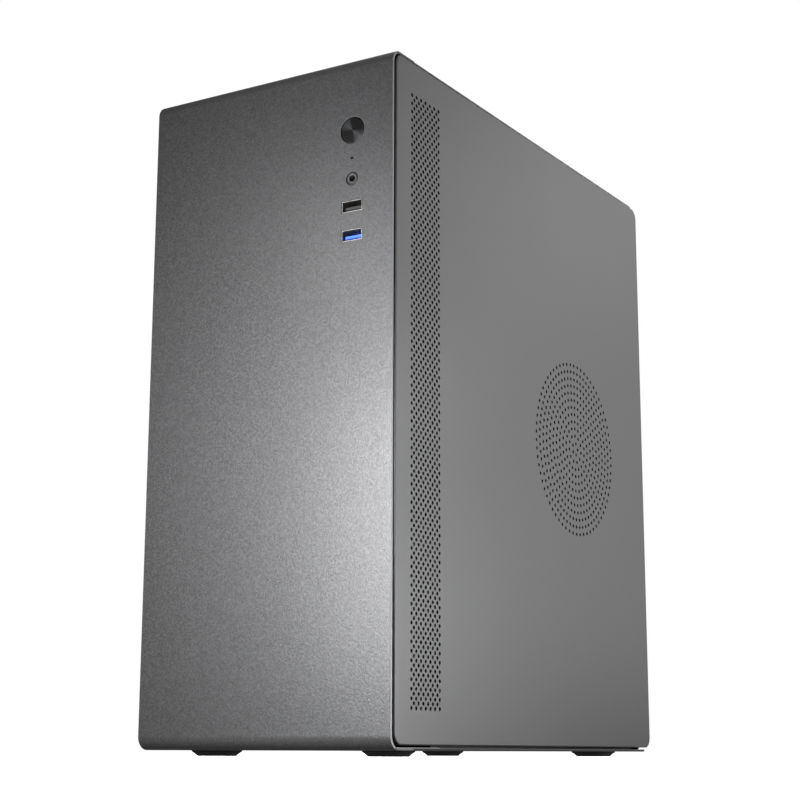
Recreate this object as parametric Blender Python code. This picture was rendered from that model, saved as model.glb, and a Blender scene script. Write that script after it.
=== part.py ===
"""Desktop computer tower for a micro-ATX board, built as separate parts.

Frame: +X is the viewer's right when facing the front, the front faces -Y, +Z is up.
The origin is under the middle of the tower, on the surface that the feet stand on.
All sizes are in metres.
"""

from math import cos, pi, radians, sin

import bmesh
import bpy
from mathutils import Matrix, Vector

# ---- driving dimensions -------------------------------------------------------------
BODY_W = 0.1752  # across the outer faces of the two side panels
BODY_D = 0.347  # front face to the rear flanges of the side panels
BODY_H = 0.400  # base cover to top cover
FOOT_H = 0.0033
SCREW_PROUD = 0.006  # thumbscrew heads behind the rear flanges
GAP = 0.0003  # assembly gap between two pieces that touch

FRONT = -(BODY_D + SCREW_PROUD) / 2
REAR = FRONT + BODY_D
BOTTOM = FOOT_H
TOP = FOOT_H + BODY_H
HALF_W = BODY_W / 2

# ---- covers and side panels ---------------------------------------------------------
COVER_T = 0.0015
COVER_HALF_W = HALF_W - 0.0006  # the side panels stand a little proud of the covers
CORNER_R = 0.008
COVER_NOTCH_X = HALF_W - 0.0072  # the covers' rear bends are notched for the panels' hems
COVER_NOTCH_Y = REAR - 0.0075
FRONT_RETURN = 0.024  # how far the front panel runs over the top and under the base
PANEL_T = 0.0008
PANEL_FRONT_GAP = 0.0032  # front face to the side panel's leading edge
PANEL_LOW = BOTTOM + 0.0028
PANEL_HIGH = TOP - 0.0019
PANEL_CORNER_R = 0.007
PANEL_RIM_R = 0.0013
PANEL_RETURN = 0.0066  # depth of the hem around a side panel
PANEL_FLANGE = 0.0144  # width of the rear flange that the thumbscrews hold
PANEL_FLANGE_INSET = 0.010

# ---- chassis ------------------------------------------------------------------------
SHEET = 0.001
WALL_Y = REAR - PANEL_T - GAP  # outer face of the rear wall
INSIDE_Y = WALL_Y - SHEET
BULKHEAD_Y = FRONT + 0.054
TRAY_X = 0.0762
CHASSIS_HALF_W = 0.0800
CHASSIS_LOW = BOTTOM + COVER_T + GAP
CHASSIS_HIGH = TOP - COVER_T - GAP
INTAKE_R = 0.057  # opening of an empty 120 mm fan place
INTAKE_X = -0.012
INTAKE_Z = 0.150
CABLE_X = 0.0640
CABLE_HOLE_Z = 0.255
CABLE_HOLE_R = 0.008

# ---- front controls: one column, heights above the base cover ------------------------
COLUMN_X = 0.0593
BUTTON_Z = BOTTOM + 0.3546
LED_Z = BOTTOM + 0.3376
JACK_Z = BOTTOM + 0.3249
USB2_Z = BOTTOM + 0.3082
USB3_Z = BOTTOM + 0.2907
BUTTON_R = 0.00785
JACK_R = 0.00385
USB_W = 0.0140
USB_H = 0.0067
USB_WALL = 0.00075
LED_R = 0.0008
SOCKET_MOUTH = 0.0003  # collar, shells and button stand this far behind the front face
IO_BOARD_Y = FRONT + 0.018
SWITCH_HALF = 0.0065

# ---- rear wall ----------------------------------------------------------------------
SHANK_HOLE_R = 0.0022
IO_X = (0.02655, 0.0710)
IO_Z = (0.1455, 0.30425)
SLOT_COUNT = 4
SLOT_PITCH = 0.02032
SLOT_TOP_Z = 0.128
SLOT_X = (-0.034, 0.068)
SLOT_W = 0.0125
SLOT_COVER_T = 0.0009
SLOT_COVER_LAP = 0.004  # how far a slot cover runs past the ends of its slot
SLOT_COVER_HALF = 0.0092
SHIELD_T = 0.0006
REAR_FAN_SIZE = 0.092
REAR_FAN_X = -0.028
REAR_FAN_Z = 0.225

# ---- thumbscrews ----------------------------------------------------------------------
THUMB_X = 0.0794
THUMB_Z = (0.044, 0.364)
THUMB_HEAD_R = (0.0050, 0.0054)  # between and on the knurls
THUMB_TEETH = 24
SHANK_R = 0.0017
SHANK_LENGTH = 0.0089
WASHER_T = 0.0006
WASHER_R = (0.0020, 0.0056)
HEAD_Y = REAR + GAP + WASHER_T + GAP

# ---- fans -----------------------------------------------------------------------------
FAN_DEPTH = 0.025
FAN_WALL = 0.0022
FAN_SEAT = 0.19  # radius of the motor seat as a share of the fan's size
FAN_HUB = 0.18
FAN_BLADES = 7
FAN_PITCH = 38  # degrees between a blade and the fan's axis
STRUT_HALF = 0.0016

# ---- power supply ---------------------------------------------------------------------
PSU_SIZE = Vector((0.150, 0.140, 0.086))
PSU_Z = 0.308
PSU_RIM = 0.004
PSU_WALL = 0.001
PSU_REAR = INSIDE_Y - GAP
PSU_FRONT = PSU_REAR - PSU_SIZE.y
PSU_FAN_SIZE = 0.120
PSU_FAN_Y = PSU_FRONT + PSU_SIZE.y / 2 - 0.004
GUARD_T = 0.0018
GUARD_RINGS = (0.015, 0.030, 0.045)
INLET_X = -0.048
INLET_Z = PSU_Z + 0.052
INLET_SIZE = Vector((0.0270, 0.0, 0.0200))
INLET_DEPTH = 0.020
WELL_SIZE = (0.0238, 0.0160)
ROCKER_X = -0.018
ROCKER_Z = INLET_Z
ROCKER_HALF = Vector((0.0062, 0.0, 0.0088))
ROCKER_R = 0.0135
ROCKER_TILT = 7  # degrees each way from the middle

# ---- main board ---------------------------------------------------------------------
BOARD_X = 0.0701  # back of the board, on 6.5 mm stand-offs
BOARD_T = 0.0016
BOARD_Y = (-0.034, 0.1655)
BOARD_Z = (0.055, 0.299)
BOARD_FACE = BOARD_X - BOARD_T
PARTS_X = BOARD_FACE - GAP
CPU_Y = 0.0571
CPU_Z = 0.2025
COOLER_SIZE = 0.090
SINK_BASE = 0.006
SINK_H = 0.036
SINK_FINS = 15
SINK_FIN_T = 0.0014
LID_H = 0.0060  # top of the processor's lid above the board
MEMORY_Y = -0.0020
MEMORY_Z = (0.1300, 0.2720)
MEMORY_SEAT = 0.0070
# z low, z high and how far from the board's face each rear socket reaches
REAR_PORTS = (
    (0.2850, 0.3010, 0.0320),
    (0.2480, 0.2800, 0.0260),
    (0.2265, 0.2425, 0.0300),
    (0.2045, 0.2215, 0.0290),
    (0.1500, 0.1640, 0.0340),
)
PORT_WALL = 0.0013

# ---- drives -----------------------------------------------------------------------------
CAGE_X = (-0.0660, 0.0380)
CAGE_Y = (-0.088, 0.062)
CAGE_TOP = 0.0440
CAGE_FLANGE = 0.010
DRIVE_SIZE = Vector((0.1016, 0.1470, 0.0261))
DRIVE_Z = 0.0120
SLIM_DRIVE_SIZE = Vector((0.0698, 0.1000, 0.0070))

# ---- materials: sRGB colour, metallic, roughness --------------------------------------
FINISHES = {
    "textured_paint": ("#6E6E6E", 0.3, 0.55),
    "smooth_paint": ("#6B6B6B", 0.3, 0.45),
    "dark_steel": ("#3A3B3D", 0.8, 0.45),
    "zinc_steel": ("#A9ABAD", 0.9, 0.35),
    "turned_metal": ("#8A8A8C", 0.9, 0.30),
    "black_plastic": ("#151516", 0.0, 0.50),
    "grey_plastic": ("#5C5D60", 0.0, 0.55),
    "blue_plastic": ("#2F55D8", 0.0, 0.40),
    "rubber": ("#1A1A1B", 0.0, 0.80),
    "green_board": ("#12301F", 0.0, 0.40),
    "aluminium": ("#B9BBBE", 1.0, 0.35),
    "nickel": ("#C2C0BA", 1.0, 0.25),
    "clear_plastic": ("#40484A", 0.0, 0.20),
}


def linear(srgb_hex):
    """Linear RGB of an sRGB hex colour."""
    channels = [int(srgb_hex[i : i + 2], 16) / 255 for i in (1, 3, 5)]
    return [c / 12.92 if c <= 0.04045 else ((c + 0.055) / 1.055) ** 2.4 for c in channels]


def finish(name):
    """The shared Principled material of that name."""
    material = bpy.data.materials.get(name)
    if material is None:
        colour, metallic, roughness = FINISHES[name]
        material = bpy.data.materials.new(name)
        material.use_nodes = True
        shader = material.node_tree.nodes["Principled BSDF"]
        shader.inputs["Base Color"].default_value = (*linear(colour), 1)
        shader.inputs["Metallic"].default_value = metallic
        shader.inputs["Roughness"].default_value = roughness
        material.diffuse_color = (*linear(colour), 1)
    return material


# ---- small modelling helpers ----------------------------------------------------------
def named(bm, name, finish_name, location=(0, 0, 0), smooth=False):
    """Turns a bmesh into an object at location, in the scene."""
    bmesh.ops.recalc_face_normals(bm, faces=bm.faces)
    mesh = bpy.data.meshes.new(name)
    bm.to_mesh(mesh)
    bm.free()
    mesh.materials.append(finish(finish_name))
    if smooth:
        mesh.shade_smooth()
        mesh.set_sharp_from_angle(angle=radians(35))
    obj = bpy.data.objects.new(name, mesh)
    obj.location = location
    bpy.context.collection.objects.link(obj)
    return obj


def block(name, finish_name, low, high, bevel=0.0):
    """A box between two corners, its origin at its middle."""
    low, high = Vector(low), Vector(high)
    bm = bmesh.new()
    bmesh.ops.create_cube(bm, size=1)
    bmesh.ops.scale(bm, vec=high - low, verts=bm.verts)
    if bevel:
        bmesh.ops.bevel(
            bm, geom=bm.edges, offset=bevel, segments=1, profile=0.5, affect="EDGES", material=-1
        )
    return named(bm, name, finish_name, (low + high) / 2)


def prism(name, finish_name, outline, axis, start, end, smooth=False):
    """A closed outline, given in the two axes after axis in X, Y, Z order, pushed along axis."""
    others = [i for i in range(3) if i != axis]
    bm = bmesh.new()
    verts = []
    for point in outline:
        place = [0.0, 0.0, 0.0]
        place[others[0]], place[others[1]] = point
        place[axis] = start
        verts.append(bm.verts.new(place))
    face = bm.faces.new(verts)
    pushed = bmesh.ops.extrude_face_region(bm, geom=[face])["geom"]
    step = [0.0, 0.0, 0.0]
    step[axis] = end - start
    bmesh.ops.translate(bm, vec=step, verts=[g for g in pushed if isinstance(g, bmesh.types.BMVert)])
    return named(bm, name, finish_name, smooth=smooth)


def turned(name, finish_name, profile, location, axis, segments=32, smooth=True):
    """A profile of (radius, distance along axis) points, closed on itself, spun about axis."""
    bm = bmesh.new()
    verts = [bm.verts.new((radius, 0, along)) for radius, along in profile]
    edges = [bm.edges.new((verts[i], verts[i + 1])) for i in range(len(verts) - 1)]
    if profile[0][0] > 0:
        edges.append(bm.edges.new((verts[-1], verts[0])))
    bmesh.ops.spin(
        bm, geom=verts + edges, axis=(0, 0, 1), cent=(0, 0, 0), angle=2 * pi, steps=segments, use_merge=True
    )
    bmesh.ops.remove_doubles(bm, verts=bm.verts, dist=1e-6)
    bmesh.ops.dissolve_degenerate(bm, edges=bm.edges, dist=1e-7)
    turn = Vector((0, 0, 1)).rotation_difference(Vector(axis))
    bmesh.ops.transform(bm, matrix=turn.to_matrix().to_4x4(), verts=bm.verts)
    return named(bm, name, finish_name, location, smooth)


def rod(name, finish_name, radius, start, end, segments=24):
    """A solid cylinder between two points."""
    start, end = Vector(start), Vector(end)
    length = (end - start).length
    profile = [(0, 0), (radius, 0), (radius, length), (0, length)]
    return turned(name, finish_name, profile, start, end - start, segments)


def apply_boolean(obj, tool, operation):
    """Cuts tool from obj, or joins it to obj, and removes tool."""
    modifier = obj.modifiers.new(operation.lower(), "BOOLEAN")
    modifier.operation = operation
    modifier.solver = "EXACT"
    modifier.object = tool
    bpy.context.view_layer.update()
    graph = bpy.context.evaluated_depsgraph_get()
    mesh = bpy.data.meshes.new_from_object(obj.evaluated_get(graph))
    obj.modifiers.remove(modifier)
    old = obj.data
    obj.data = mesh
    bpy.data.meshes.remove(old)
    mesh.name = obj.name
    used = tool.data
    bpy.data.objects.remove(tool)
    bpy.data.meshes.remove(used)
    return obj


def cut_box(obj, low, high):
    """Cuts a box between two corners from obj."""
    return apply_boolean(obj, block("hole", obj.data.materials[0].name, low, high), "DIFFERENCE")


def cut_round(obj, radius, start, end, segments=32):
    """Cuts a round hole between two points from obj."""
    tool = rod("hole", obj.data.materials[0].name, radius, start, end, segments)
    return apply_boolean(obj, tool, "DIFFERENCE")


def join(obj, *tools):
    """Joins each tool to obj as one body."""
    for tool in tools:
        apply_boolean(obj, tool, "UNION")
    return obj


def arc(centre, radius, start, end, steps):
    """Points on an arc, both ends included, with angles in degrees."""
    angles = [radians(start + (end - start) * i / steps) for i in range(steps + 1)]
    return [(centre[0] + radius * cos(a), centre[1] + radius * sin(a)) for a in angles]


def rounded_rectangle(low, high, radius, steps=4):
    """Outline of a rectangle with round corners, anticlockwise."""
    (x0, y0), (x1, y1) = low, high
    return [
        *arc((x1 - radius, y0 + radius), radius, -90, 0, steps),
        *arc((x1 - radius, y1 - radius), radius, 0, 90, steps),
        *arc((x0 + radius, y1 - radius), radius, 90, 180, steps),
        *arc((x0 + radius, y0 + radius), radius, 180, 270, steps),
    ]


# ---- covers ---------------------------------------------------------------------------
def front_path(inset):
    """Side view of the front panel's skin, inset from its outer face."""
    radius = CORNER_R - inset
    end = FRONT + FRONT_RETURN
    return [
        (end, BOTTOM + inset),
        *arc((FRONT + CORNER_R, BOTTOM + CORNER_R), radius, 270, 180, 6),
        *arc((FRONT + CORNER_R, TOP - CORNER_R), radius, 180, 90, 6),
        (end, TOP - inset),
    ]


def front_panel():
    """C-shaped front with its holes for the control column."""
    outline = front_path(0) + front_path(COVER_T)[::-1]
    panel = prism("front_panel", "textured_paint", outline, 0, -COVER_HALF_W, COVER_HALF_W)
    before, behind = FRONT - 0.005, FRONT + 0.010
    for radius, height in ((BUTTON_R, BUTTON_Z), (LED_R, LED_Z), (JACK_R, JACK_Z)):
        cut_round(panel, radius + GAP, (COLUMN_X, before, height), (COLUMN_X, behind, height))
    half_w = USB_W / 2 + GAP
    half_h = USB_H / 2 + GAP
    for height in (USB2_Z, USB3_Z):
        low = (COLUMN_X - half_w, before, height - half_h)
        cut_box(panel, low, (COLUMN_X + half_w, behind, height + half_h))
    return panel


def cover(name, outer_z, inward):
    """Top or base cover: a flat sheet with a round bend down to the rear wall."""
    start = FRONT + FRONT_RETURN + GAP
    centre = (WALL_Y - CORNER_R, outer_z + inward * CORNER_R)
    from_angle = -90 * inward

    def path(inset):
        end_z = outer_z + inward * CORNER_R
        bend = arc(centre, CORNER_R - inset, from_angle, 0, 6)
        return [(start, outer_z + inward * inset), *bend[:-1], (WALL_Y - inset, end_z)]

    outline = path(0) + path(COVER_T)[::-1]
    sheet = prism(name, "smooth_paint", outline, 0, -COVER_HALF_W, COVER_HALF_W)
    heights = sorted((outer_z - inward * CORNER_R, outer_z + 2 * inward * CORNER_R))
    for edges in ((-HALF_W, -COVER_NOTCH_X), (COVER_NOTCH_X, HALF_W)):
        low = (edges[0], COVER_NOTCH_Y, heights[0])
        high = (edges[1], WALL_Y + CORNER_R, heights[1])
        cut_box(sheet, low, high)
    return sheet


def side_panel(name, side):
    """Pressed steel side panel: a shallow tray with a round rim and a rear screw flange."""
    bm = bmesh.new()
    outline = rounded_rectangle(
        (FRONT + PANEL_FRONT_GAP, PANEL_LOW), (REAR, PANEL_HIGH), PANEL_CORNER_R, 6
    )
    verts = [bm.verts.new((side * HALF_W, y, z)) for y, z in outline]
    face = bm.faces.new(verts)
    rim = list(face.edges)
    walls = bmesh.ops.extrude_edge_only(bm, edges=rim)["geom"]
    moved = [g for g in walls if isinstance(g, bmesh.types.BMVert)]
    bmesh.ops.translate(bm, vec=(-side * PANEL_RETURN, 0, 0), verts=moved)
    rear_edge = max(
        (g for g in walls if isinstance(g, bmesh.types.BMEdge) and all(v in moved for v in g.verts)),
        key=lambda edge: sum(v.co.y for v in edge.verts) + edge.calc_length(),
    )
    flange = bmesh.ops.extrude_edge_only(bm, edges=[rear_edge])["geom"]
    flange_verts = [g for g in flange if isinstance(g, bmesh.types.BMVert)]
    reach = PANEL_FLANGE - PANEL_RETURN
    bmesh.ops.translate(bm, vec=(-side * reach, 0, 0), verts=flange_verts)
    for vert in flange_verts:
        vert.co.z += PANEL_FLANGE_INSET if vert.co.z < (BOTTOM + TOP) / 2 else -PANEL_FLANGE_INSET
    bmesh.ops.bevel(
        bm, geom=rim, offset=PANEL_RIM_R, segments=2, profile=0.5, affect="EDGES", material=-1
    )
    bmesh.ops.recalc_face_normals(bm, faces=bm.faces)
    middle = min(bm.faces, key=lambda f: abs(f.calc_center_median().z - 0.2) - f.calc_area())
    if middle.normal.x * side < 0:
        bmesh.ops.reverse_faces(bm, faces=bm.faces)
    bmesh.ops.solidify(bm, geom=bm.faces, thickness=PANEL_T)
    panel = named(bm, name, "smooth_paint", smooth=True)
    for height in THUMB_Z:
        start = (side * THUMB_X, REAR - 0.004, height)
        cut_round(panel, SHANK_HOLE_R, start, (side * THUMB_X, REAR + 0.004, height), 16)
    return panel


def foot(name, x, y):
    """Round moulded foot that narrows towards the floor."""
    height = FOOT_H - GAP
    profile = [(0, 0), (0.0112, 0), (0.01175, 0.0005), (0.0150, height), (0, height)]
    return turned(name, "rubber", profile, (x, y, 0), (0, 0, 1), 32)


# ---- chassis --------------------------------------------------------------------------
def rear_wall():
    """Rear wall with its power supply, port, card and fan openings."""
    low = BOTTOM + CORNER_R + GAP
    high = TOP - CORNER_R - GAP
    half_w = COVER_HALF_W - 0.001
    wall = block("rear_wall", "dark_steel", (-half_w, INSIDE_Y, low), (half_w, WALL_Y, high))
    y0, y1 = INSIDE_Y - 0.003, WALL_Y + 0.003
    psu_half = PSU_SIZE.x / 2 - PSU_RIM
    psu_low = (-psu_half, y0, PSU_Z + PSU_RIM)
    psu_high = (psu_half, y1, PSU_Z + PSU_SIZE.z - PSU_RIM)
    cut_box(wall, psu_low, psu_high)
    cut_box(wall, (IO_X[0], y0, IO_Z[0]), (IO_X[1], y1, IO_Z[1]))
    for index in range(SLOT_COUNT):
        z = SLOT_TOP_Z - index * SLOT_PITCH
        cut_box(wall, (SLOT_X[0], y0, z - SLOT_W / 2), (SLOT_X[1], y1, z + SLOT_W / 2))
    fan_r = REAR_FAN_SIZE / 2 - 0.002
    cut_round(wall, fan_r, (REAR_FAN_X, y0, REAR_FAN_Z), (REAR_FAN_X, y1, REAR_FAN_Z))
    for side in (-1, 1):
        for z in THUMB_Z:
            cut_round(wall, SHANK_R + GAP, (side * THUMB_X, y0, z), (side * THUMB_X, y1, z), 16)
    return wall


def front_bulkhead():
    """Sheet behind the front panel, with the intake opening and a cable hole."""
    low = (-CHASSIS_HALF_W, BULKHEAD_Y, CHASSIS_LOW)
    high = (CHASSIS_HALF_W, BULKHEAD_Y + SHEET, CHASSIS_HIGH)
    sheet = block("front_bulkhead", "dark_steel", low, high)
    before, behind = BULKHEAD_Y - 0.003, BULKHEAD_Y + 0.004
    for radius, x, z in ((INTAKE_R, INTAKE_X, INTAKE_Z), (CABLE_HOLE_R, CABLE_X, CABLE_HOLE_Z)):
        cut_round(sheet, radius, (x, before, z), (x, behind, z))
    return sheet


def motherboard_tray():
    """Sheet that carries the main board on nine pressed stand-offs."""
    low = (TRAY_X, BULKHEAD_Y + SHEET + GAP, CHASSIS_LOW)
    high = (TRAY_X + SHEET, WALL_Y - CORNER_R, CHASSIS_HIGH)
    tray = block("motherboard_tray", "dark_steel", low, high)
    inset = 0.010
    height = TRAY_X - BOARD_X - GAP + SHEET / 2
    profile = [(0, 0), (0.0050, 0), (0.0030, height / 2), (0.0030, height), (0, height)]
    for y in (BOARD_Y[0] + inset, sum(BOARD_Y) / 2, BOARD_Y[1] - inset):
        for z in (BOARD_Z[0] + inset, sum(BOARD_Z) / 2, BOARD_Z[1] - inset):
            base = Vector((TRAY_X + SHEET / 2, y, z))
            join(tray, turned("standoff", "dark_steel", profile, base, (-1, 0, 0), 10, False))
    return tray


# ---- front controls -------------------------------------------------------------------
def power_button():
    """Round metal cap on a stem, with a flange that stops it leaving the front panel."""
    profile = [
        (0, SOCKET_MOUTH),
        (BUTTON_R - 0.0006, SOCKET_MOUTH),
        (BUTTON_R, 0.0009),
        (BUTTON_R, 0.0022),
        (BUTTON_R + 0.0013, 0.0022),
        (BUTTON_R + 0.0013, 0.0034),
        (0.0025, 0.0034),
        (0.0025, 0.0110),
        (0, 0.0110),
    ]
    return turned("power_button", "turned_metal", profile, (COLUMN_X, FRONT, BUTTON_Z), (0, 1, 0), 32)


def power_switch():
    """Switch housing with the pocket that the button's stem enters."""
    low = (COLUMN_X - SWITCH_HALF, FRONT + 0.0095, BUTTON_Z - SWITCH_HALF)
    high = (COLUMN_X + SWITCH_HALF, IO_BOARD_Y - GAP, BUTTON_Z + SWITCH_HALF)
    body = block("power_switch", "black_plastic", low, high, 0.0004)
    start = (COLUMN_X, FRONT + 0.0090, BUTTON_Z)
    return cut_round(body, 0.0031, start, (COLUMN_X, FRONT + 0.0150, BUTTON_Z), 20)


def status_light():
    """Light pipe behind the small hole under the power button."""
    start = (COLUMN_X, FRONT + 0.0005, LED_Z)
    return rod("status_light", "clear_plastic", LED_R, start, (COLUMN_X, IO_BOARD_Y - GAP, LED_Z), 12)


def audio_jack():
    """Headset socket: a collar and barrel around a 3.5 mm bore."""
    depth = IO_BOARD_Y - GAP - FRONT
    profile = [
        (0, 0.0150),
        (0.0018, 0.0150),
        (0.0018, 0.0009),
        (0.0024, SOCKET_MOUTH),
        (JACK_R - 0.0003, SOCKET_MOUTH),
        (JACK_R, 0.0006),
        (JACK_R, 0.0030),
        (0.0045, 0.0034),
        (0.0045, depth),
        (0, depth),
    ]
    return turned("audio_jack", "grey_plastic", profile, (COLUMN_X, FRONT, JACK_Z), (0, 1, 0), 24)


def usb_shell(name, z):
    """Folded steel shell of a type A socket."""
    y0, y1 = FRONT + SOCKET_MOUTH, IO_BOARD_Y - GAP
    low = Vector((COLUMN_X - USB_W / 2, y0, z - USB_H / 2))
    high = Vector((COLUMN_X + USB_W / 2, y1, z + USB_H / 2))
    inset = Vector((USB_WALL, -0.002, USB_WALL))
    return cut_box(block(name, "nickel", low, high), low + inset, high - inset)


def usb_tongue(name, finish_name, z):
    """Contact tongue of a type A socket, on the block that closes the shell's rear."""
    back = IO_BOARD_Y - GAP
    base_low = (COLUMN_X - 0.0059, back - 0.005, z - 0.0023)
    base_high = (COLUMN_X + 0.0059, back, z + 0.0023)
    tongue_low = (COLUMN_X - 0.0056, FRONT + 0.0022, z - 0.0021)
    tongue_high = (COLUMN_X + 0.0056, back - 0.004, z - 0.0002)
    base = block(name, finish_name, base_low, base_high)
    return join(base, block("tongue", finish_name, tongue_low, tongue_high))


def front_io_board():
    """Small circuit board behind the control column."""
    low = (COLUMN_X - 0.0135, IO_BOARD_Y, USB3_Z - 0.010)
    high = (COLUMN_X + 0.0135, IO_BOARD_Y + BOARD_T, BUTTON_Z + 0.012)
    return block("front_io_board", "green_board", low, high)


# ---- fasteners and slot covers ----------------------------------------------------------
def thumbscrew(name, x, z):
    """Knurled thumbscrew with a 3.5 mm shank."""
    outline = []
    for i in range(THUMB_TEETH):
        angle = 2 * pi * i / THUMB_TEETH
        radius = THUMB_HEAD_R[i % 2]
        outline.append((radius * cos(angle), radius * sin(angle)))
    head = prism(name, "zinc_steel", outline, 1, HEAD_Y, REAR + SCREW_PROUD)
    shank = rod("shank", "zinc_steel", SHANK_R, (0, HEAD_Y - SHANK_LENGTH, 0), (0, HEAD_Y + 0.001, 0), 12)
    join(head, shank)
    head.location = (x, 0, z)
    return head


def washer(name, x, z):
    """Captive washer that comes out with its thumbscrew but doesn't turn."""
    bore, rim = WASHER_R
    profile = [(bore, 0), (rim, 0), (rim, WASHER_T), (bore, WASHER_T)]
    return turned(name, "black_plastic", profile, (x, REAR + GAP, z), (0, 1, 0), 20)


def slot_cover(name, z):
    """Blanking plate of one card slot, with the bent tab at its screw end."""
    y1 = INSIDE_Y - GAP
    y0 = y1 - SLOT_COVER_T
    x0, x1 = SLOT_X[0] - SLOT_COVER_LAP, SLOT_X[1] + SLOT_COVER_LAP
    z0, z1 = z - SLOT_COVER_HALF, z + SLOT_COVER_HALF
    plate = block(name, "zinc_steel", (x0, y0, z0), (x1, y1, z1))
    return join(plate, block("tab", "zinc_steel", (x0, y0 - 0.0105, z0), (x0 + 0.001, y0 + 0.0002, z1)))


def io_shield():
    """Pressed shield around the rear ports."""
    y0 = INSIDE_Y - SHIELD_T
    low = (IO_X[0] + GAP, y0, IO_Z[0] + GAP)
    high = (IO_X[1] - GAP, WALL_Y - 0.0004, IO_Z[1] - GAP)
    shield = block("io_shield", "zinc_steel", low, high)
    for low_z, high_z, depth in REAR_PORTS:
        low = (BOARD_FACE - depth - GAP, y0 - 0.002, low_z - GAP)
        cut_box(shield, low, (BOARD_FACE - 0.0005, WALL_Y + 0.002, high_z + GAP))
    return shield


# ---- fan parts ------------------------------------------------------------------------
def fan_frame(name, size, centre, axis, depth=FAN_DEPTH):
    """Square fan frame: a bore, a motor seat and four struts. axis points to the strut side."""
    half = size / 2
    outline = rounded_rectangle((-half, -half), (half, half), 0.004, 2)
    frame = prism(name, "black_plastic", outline, 2, -depth / 2, depth / 2)
    cut_round(frame, half - FAN_WALL, (0, 0, -depth), (0, 0, depth), 40)
    seat_low = depth / 2 - 0.0035
    seat_high = depth / 2 - 0.0004
    join(frame, rod("seat", "black_plastic", size * FAN_SEAT, (0, 0, seat_low), (0, 0, seat_high)))
    reach = half - FAN_WALL + 0.0012
    for turn in (45, 135):
        low = (-reach, -STRUT_HALF, seat_low + 0.0005)
        strut = block("strut", "black_plastic", low, (reach, STRUT_HALF, seat_high - 0.0004))
        strut.rotation_euler.z = radians(turn)
        join(frame, strut)
    place(frame, centre, axis)
    return frame


def fan_rotor(name, size, centre, axis, depth=FAN_DEPTH):
    """Fan rotor: hub and swept blades, clear of the frame's bore and motor seat."""
    hub_r = size * FAN_HUB
    tip_r = size / 2 - FAN_WALL - 0.0012
    low, high = -depth / 2 + 0.0015, depth / 2 - 0.0045
    profile = [(0, low), (hub_r - 0.0012, low), (hub_r, low + 0.0012), (hub_r, high), (0, high)]
    rotor = turned(name, "black_plastic", profile, (0, 0, 0), (0, 0, 1), 28)
    half_chord = (high - low) / 2 - 0.0006
    length = tip_r - hub_r + 0.002
    chord = 2 * half_chord / cos(radians(FAN_PITCH))
    for i in range(FAN_BLADES):
        bm = bmesh.new()
        bmesh.ops.create_cube(bm, size=1)
        bmesh.ops.scale(bm, vec=(length, 0.0014, chord), verts=bm.verts)
        bmesh.ops.rotate(bm, matrix=Matrix.Rotation(radians(FAN_PITCH), 3, "X"), verts=bm.verts)
        bmesh.ops.translate(bm, vec=(tip_r - length / 2 - 0.001, 0, (low + high) / 2), verts=bm.verts)
        bmesh.ops.rotate(bm, matrix=Matrix.Rotation(2 * pi * i / FAN_BLADES, 3, "Z"), verts=bm.verts)
        join(rotor, named(bm, "blade", "black_plastic"))
    place(rotor, centre, axis)
    return rotor


def place(obj, centre, axis):
    """Moves an object made about +Z to centre, with its +Z along axis."""
    obj.rotation_mode = "QUATERNION"
    obj.rotation_quaternion = Vector((0, 0, 1)).rotation_difference(Vector(axis))
    obj.location = centre


# ---- power supply -----------------------------------------------------------------------
def psu_case():
    """Folded steel case, open at the fan hole, the inlet and the switch."""
    half = PSU_SIZE.x / 2
    low = Vector((-half, PSU_FRONT, PSU_Z))
    high = Vector((half, PSU_REAR, PSU_Z + PSU_SIZE.z))
    wall = Vector((PSU_WALL, PSU_WALL, PSU_WALL))
    case = block("psu_case", "dark_steel", low, high)
    cut_box(case, low + wall, high - wall)
    fan_r = PSU_FAN_SIZE / 2 - 0.003
    cut_round(case, fan_r, (0, PSU_FAN_Y, PSU_Z - 0.004), (0, PSU_FAN_Y, PSU_Z + 0.006), 40)
    inlet = INLET_SIZE / 2 + Vector((GAP, 0.004, GAP))
    rocker = ROCKER_HALF + Vector((0.0008, 0.004, 0.0008))
    for half_size, x, z in ((inlet, INLET_X, INLET_Z), (rocker, ROCKER_X, ROCKER_Z)):
        centre = Vector((x, PSU_REAR, z))
        cut_box(case, centre - half_size, centre + half_size)
    x, z = half - 0.030, PSU_Z + 0.030
    return cut_round(case, 0.009, (x, PSU_FRONT - 0.004, z), (x, PSU_FRONT + 0.004, z), 20)


def psu_board():
    """Power supply circuit board with its transformer, coil and capacitors."""
    z = PSU_Z + PSU_SIZE.z - 0.008
    half = PSU_SIZE.x / 2 - 0.006
    low = (-half, PSU_FRONT + 0.006, z)
    board = block("psu_board", "green_board", low, (half, PSU_REAR - 0.034, z + BOARD_T))
    # middle x, middle y behind the case's front, half sizes and height of each component
    components = (
        (-0.030, 0.060, 0.016, 0.018, 0.030),
        (0.020, 0.085, 0.020, 0.012, 0.026),
        (0.045, 0.055, 0.010, 0.010, 0.034),
    )
    for x, y, half_x, half_y, height in components:
        low = (x - half_x, PSU_FRONT + y - half_y, z - height)
        high = (x + half_x, PSU_FRONT + y + half_y, z + 0.0008)
        join(board, block("component", "green_board", low, high))
    return board


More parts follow.
